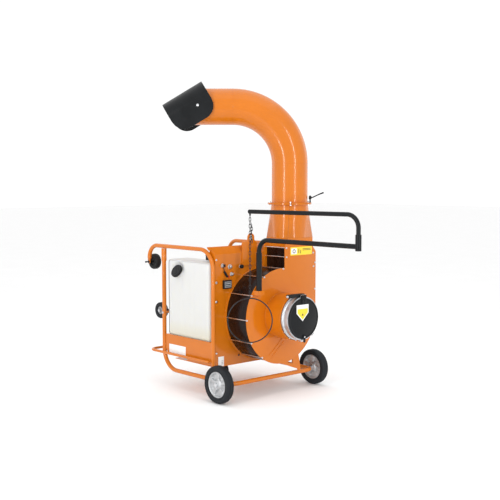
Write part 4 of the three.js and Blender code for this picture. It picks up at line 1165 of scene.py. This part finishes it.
def control_pieces():
    wall = WALL_FRONT
    for name in ("start_button", "stop_button"):
        low, high = machine(name)
        c = (low + high) / 2
        r = (high.x - low.x) / 2
        knob = [(0, 16), (r - 2.5, 16), (r - 0.8, 15), (r - 0.3, 13.5), (r - 0.3, -14), (0, -14)]
        piece(f"{name}_cap", revolve(knob, -Y, (c.x, wall, c.z), 40), ZINC, name, (name,))
        bezel = merge(revolve(ring_profile(r + 0.4, r + 4, 0, 6, 1.4), -Y, (c.x, wall, c.z), 40),
                      revolve(ring_profile(r + 2, r + 7, 0, 2.6, 0.8), -Y, (c.x, wall, c.z), 6))
        piece(f"{name}_bezel", bezel, ZINC)
    c = centre_of("choke_knob")
    knob = [(0, 28), (9, 28), (12.5, 26.5), (13.8, 23), (14, 17), (12.5, 12), (8, 9), (5.8, 8), (5.8, -40),
            (0, -40)]
    piece("choke_knob_moulding", revolve(knob, -Y, (c.x, wall, c.z), 40), PLASTIC, "choke", ("choke_knob",))
    piece("choke_bezel", revolve(ring_profile(7, 11, 0, 5, 1.2), -Y, (c.x, wall, c.z), 40), ZINC)

    kx, _, kz = centre_of("ignition_key")
    barrel = revolve([(0, 13), (7, 13), (8.6, 12), (9, 10), (9, 0.4), (0, 0.4)], -Y, (kx, wall, kz), 36)
    piece("key_barrel", barrel, ZINC, "key", ("ignition_key",))
    piece("key_bezel", revolve(ring_profile(9.4, 14, 0, 4.5, 1.4), -Y, (kx, wall, kz), 36), ZINC)
    blade = rectangle((kx - 2.2, kx + 2.2), (kz - 9, kz + 9))
    piece("key_blade", merge(plate_y(blade, wall - 32, 20, bevel=0.6)), PLASTIC, "key")
    # a tag on a short twisted lanyard; it hangs from the wall and doesn't turn with the key
    strands = []
    for phase in (0, math.pi):
        route = []
        for k in range(41):
            t = k / 40
            base = Vector((kx + 2 + 12 * t ** 1.4, wall - 7, kz + 6 - 48 * t))
            turn = 7 * 2 * math.pi * t + phase
            route.append(base + Vector((1.5 * math.cos(turn), 1.2 * math.sin(turn), 0)))
        strands.append(sweep(route, 1.3, 8, round_end=0.3))
    piece("key_lanyard", merge(*strands), BLACK_STEEL)
    tag = [(kx + 8, kz - 38), (kx + 17, kz - 36), (kx + 46, kz - 76), (kx + 42, kz - 82), (kx + 32, kz - 82),
           (kx + 6, kz - 48)]
    piece("lanyard_tag", plate_y(tag, wall - 10, 5, bevel=1), PLASTIC)

    low, high = machine("hour_meter")
    piece("hour_meter_case", block((low.x, high.x), (low.y, high.y), (low.z, high.z)), PLASTIC,
          stands_for=("hour_meter",), bevel=3)
    y = low.y
    surround = rectangle((low.x + 6, high.x - 6), (low.z + 8, high.z - 8))
    window = rectangle((low.x + 12, high.x - 12), (low.z + 16, high.z - 16))
    piece("hour_meter_frame", plate_y(surround, y - 2, 2.4, [window[::-1]], 0.6), GREY_PLASTIC)
    piece("hour_meter_window", plate_y(window, y - 1, 1.2, bevel=0.2), WINDOW)
    lines = [plate_y(rectangle((low.x + 14, high.x - 14), (z, z + 2)), y - 1.6, 0.5, bevel=0.1)
             for z in (low.z + 22, high.z - 24)]
    piece("hour_meter_lines", merge(*lines), WHITE)

    bolts = [bolt((x, wall, z), -Y, 12, 5, 9) for x, z in ((-352, 777), (-352, 648))]
    bolts += [bolt((x, wall, z), -Y, 9, 4, 7) for x, z in ((-352, 930), (-352, 300), (352, 300))]
    piece("wall_bolts", merge(*bolts), ZINC)
    side = machine("tank_shelf")[0].x
    piece("side_plain_plate", plate_x(rectangle((434, 622), (247, 307)), side - 0.9, 0.8, bevel=0.2), WHITE)
    sticker = rectangle((-338, -288), (208, 274))
    piece("wall_plain_plate", plate_y(sticker, wall - 0.9, 0.8, bevel=0.2), WHITE)
    marks = [plate_y(rectangle((-312, -294), (z, z + 3)), wall - 1.4, 0.5, bevel=0.1)
             for z in (222, 232, 242)]
    piece("wall_plate_marks", merge(*marks), GREY_PLASTIC)
    drain = revolve([(0, 1.5), (6, 1.5), (8, 0.2), (8, 0), (0, 0)], -Y, (-153, wall, 265), 24)
    piece("wall_plug", drain, PLASTIC)
    piece("stop_pull_tag", block((-247, -241), (wall - 4, wall - 0.5), (800, 820)), RED, bevel=0.8)


def bay_pieces():
    for node, edge in (("front_wall", 1.5), ("tank_shelf", 1.0), ("engine_deck", 1.0), ("floor_pan", 1.0)):
        dress(node, ORANGE, edge)
    low, high = machine("lift_eye")
    middle_x, eye_z = -47, 1068
    outline = [(low.x, low.z), (high.x, low.z), *arc(high.x - 20, 1025, 20, 0, 90, 10),
               (middle_x + 36, 1045), (middle_x + 31, 1052), *arc(middle_x, eye_z, 30, 0, 180, 32),
               (middle_x - 31, 1052), (middle_x - 36, 1045), *arc(low.x + 12, 1033, 12, 90, 180, 8)]
    eye = plate_y(outline, low.y, high.y - low.y, [circle_points(middle_x, eye_z, 15, 40)], 1.2)
    piece("lifting_plate", eye, ORANGE, stands_for=("lift_eye",))


def engine_pieces():
    low = machine("engine_block")[0]
    case = merge(block((FAN_X - 112, FAN_X + 112), (156, 396), (low.z + 2, 632)),
                 block((FAN_X - 125, FAN_X + 125), (170, 385), (low.z, low.z + 14)))
    fins = []
    for side in SIDES.values():
        turn = Matrix.Rotation(side * math.radians(45), 3, "Y")
        barrel = placed(block((-40, 40), (205, 325), (40, 210)), turn, FAN)
        fins.append(barrel)
        for z in (96 + 9.5 * k for k in range(11)):
            fins.append(placed(block((-51, 51), (192, 338), (z, z + 3.2)), turn, FAN))
        head = placed(block((-44, 44), (198, 332), (200, 213)), turn, FAN)
        fins.append(head)
    piece("engine_castings", merge(case, *fins), ALLOY, stands_for=("engine_block",), bevel=1.5)
    shroud_y = machine("engine_shroud")
    y0, y1 = shroud_y[0].y, shroud_y[1].y
    hub_z = 570
    hub = (FAN_X, 0, hub_z)
    bell = [(0, y0), (126, y0), (128, y0 + 2), (128, y0 + 58), (118, y0 + 76), (104, y0 + 80), (0, y0 + 80)]
    piece("engine_shroud_bell", revolve(bell, Y, hub, 72), BLACK, stands_for=("engine_shroud",))
    screen = [revolve(ring_profile(r - 2, r + 2, y0 + 90, y0 + 93, 0.8), Y, hub, 64)
              for r in (26, 42, 58, 74, 90)]
    for turn in turns(16):
        a, b = ((FAN_X + r * math.cos(turn), y0 + 89, hub_z + r * math.sin(turn)) for r in (20, 93))
        screen.append(rod(a, b, 1.6, 10))
    screen.append(revolve([(0, y1), (18, y1), (24, y1 - 3), (24, y0 + 80), (0, y0 + 80)], Y, hub, 40))
    screen.append(revolve(ring_profile(91, 96, y0 + 78, y0 + 94, 1.5), Y, hub, 72))
    piece("engine_fan_screen", merge(*screen), PLASTIC)
    low, high = machine("air_cleaner")
    lid = merge(block((low.x, high.x), (low.y, high.y), (low.z + 24, high.z)),
                block((low.x + 8, high.x - 8), (low.y + 8, high.y - 8), (low.z, low.z + 26)),
                block((low.x + 20, high.x - 20), (low.y + 20, high.y - 20), (high.z - 4, high.z)))
    piece("air_cleaner_cover", lid, PLASTIC, stands_for=("air_cleaner",), bevel=9)
    low, high = machine("muffler")
    x, z = 305, 610
    y0, y1 = low.y, high.y
    can = [(0, y0), (44, y0), (50, y0 + 5), (52, y0 + 12), (52, y1 - 12), (50, y1 - 5), (44, y1), (0, y1)]
    pipe = sweep(bent([(x, 300, z + 45), (x, 300, 672, 20), (x, 318, 695)], 6), 14.5, 28, bore=12)
    bands = [revolve(ring_profile(51.5, 53.2, start, start + 6, 0.8), Y, (x, 0, z), 56)
             for start in (y0 + 30 + 26 * k for k in range(7))]
    piece("muffler_can", merge(revolve(can, Y, (x, 0, z), 56), pipe, *bands), HEAT_STEEL,
          stands_for=("muffler",))
    route = bent([(FAN_X + 150, 265, 640), (FAN_X + 205, 265, 628, 25), (x - 40, 265, 612)], 6)
    piece("exhaust_pipe", sweep(route, 15, 24), HEAT_STEEL)
    low, high = machine("battery")
    case = merge(block((low.x, high.x), (low.y, high.y), (low.z, high.z - 22)),
                 block((low.x + 1, high.x - 1), (low.y + 1, high.y - 1), (high.z - 19, high.z)))
    piece("battery_case", case, PLASTIC, stands_for=("battery",), bevel=3)
    low, high = machine("electrical_box")
    case = merge(block((low.x, high.x), (low.y, high.y), (low.z, high.z - 10)),
                 block((low.x - 1.5, high.x + 1.5), (low.y + 1, high.y + 1.5), (high.z - 12, high.z)))
    piece("electrical_box_case", case, PLASTIC, stands_for=("electrical_box",), bevel=3)
    route = bent([(-222, 300, 402), (-150, 300, 402, 40), (-150, 300, 660, 40), (FAN_X - 40, 290, 700)], 6)
    piece("fuel_line", sweep(route, 4.5, 16), PLASTIC)


def camera_and_lights():
    """The photo's fitted camera, two tall strips and soft fill light, and a white world."""
    scene = bpy.context.scene
    view = -42
    photo_focal, photo_width = 915, 500
    azimuth, pitch = math.radians(view), math.radians(4.35)
    level = math.cos(pitch)
    back = Vector((math.sin(azimuth) * level, -math.cos(azimuth) * level, math.sin(pitch)))
    data = bpy.data.cameras.new("camera")
    data.sensor_width = 36
    data.lens = data.sensor_width * photo_focal / photo_width
    camera = bpy.data.objects.new("camera", data)
    camera.location = M(-4248, -4528, 1459)
    camera.rotation_euler = back.to_track_quat("Z", "Y").to_euler()
    scene.collection.objects.link(camera)
    scene.camera = camera

    def lamp(name, bearing, distance, height, width, tall, power, aim=1.0):
        light = bpy.data.lights.new(name, "AREA")
        light.shape = "RECTANGLE"
        light.size, light.size_y = width, tall
        light.energy = power
        holder = bpy.data.objects.new(name, light)
        turn = math.radians(bearing)
        focus = M(0, 100, 0)
        holder.location = focus + Vector((math.sin(turn) * distance, -math.cos(turn) * distance, height))
        target = focus + Vector((0, 0, aim))
        holder.rotation_euler = (holder.location - target).to_track_quat("Z", "Y").to_euler()
        scene.collection.objects.link(holder)

    lamp("left_strip", view - 36, 5.2, 1.9, 0.32, 3.4, 85)
    lamp("right_strip", view + 34, 5.2, 1.9, 0.28, 3.4, 70)
    lamp("rear_left", view - 125, 4.4, 2.0, 1.2, 3.2, 8)
    lamp("rear_right", view + 128, 4.4, 2.0, 1.2, 3.2, 8)
    lamp("overhead", view, 0.3, 5.2, 5.0, 5.0, 36, aim=0.5)

    world = bpy.data.worlds.new("studio")
    scene.world = world
    world.use_nodes = True
    background = world.node_tree.nodes["Background"]
    background.inputs["Color"].default_value = (1, 1, 1, 1)
    background.inputs["Strength"].default_value = 1.06
    scene.view_settings.view_transform = "Standard"


def floor_piece():
    """A plain pale floor, just below the wheels."""
    reach, level = 40, -0.0005
    mesh = bpy.data.meshes.new("studio_floor")
    corners = [(x, y, level) for x, y in rectangle((-reach, reach), (-reach, reach))]
    mesh.from_pydata(corners, [], [(0, 1, 2, 3)])
    floor = bpy.data.objects.new("studio_floor", mesh)
    bpy.context.scene.collection.objects.link(floor)
    mesh.materials.append(surface("floor_paper", (0.92, 0.92, 0.92), 0.9, vary=0.01, scale=2, grain=200,
                                  grain_strength=0.02, specular=0.1))


camera_and_lights()
floor_piece()
frame_pieces()
wheel_pieces()
roller_pieces()
castor_pieces()
volute_pieces()
transition_pieces()
spout_pieces()
hood_piece()
inlet_pieces()
plate_label()
boom_pieces()
chain_pieces()
tank_piece()
control_pieces()
bay_pieces()
engine_pieces()
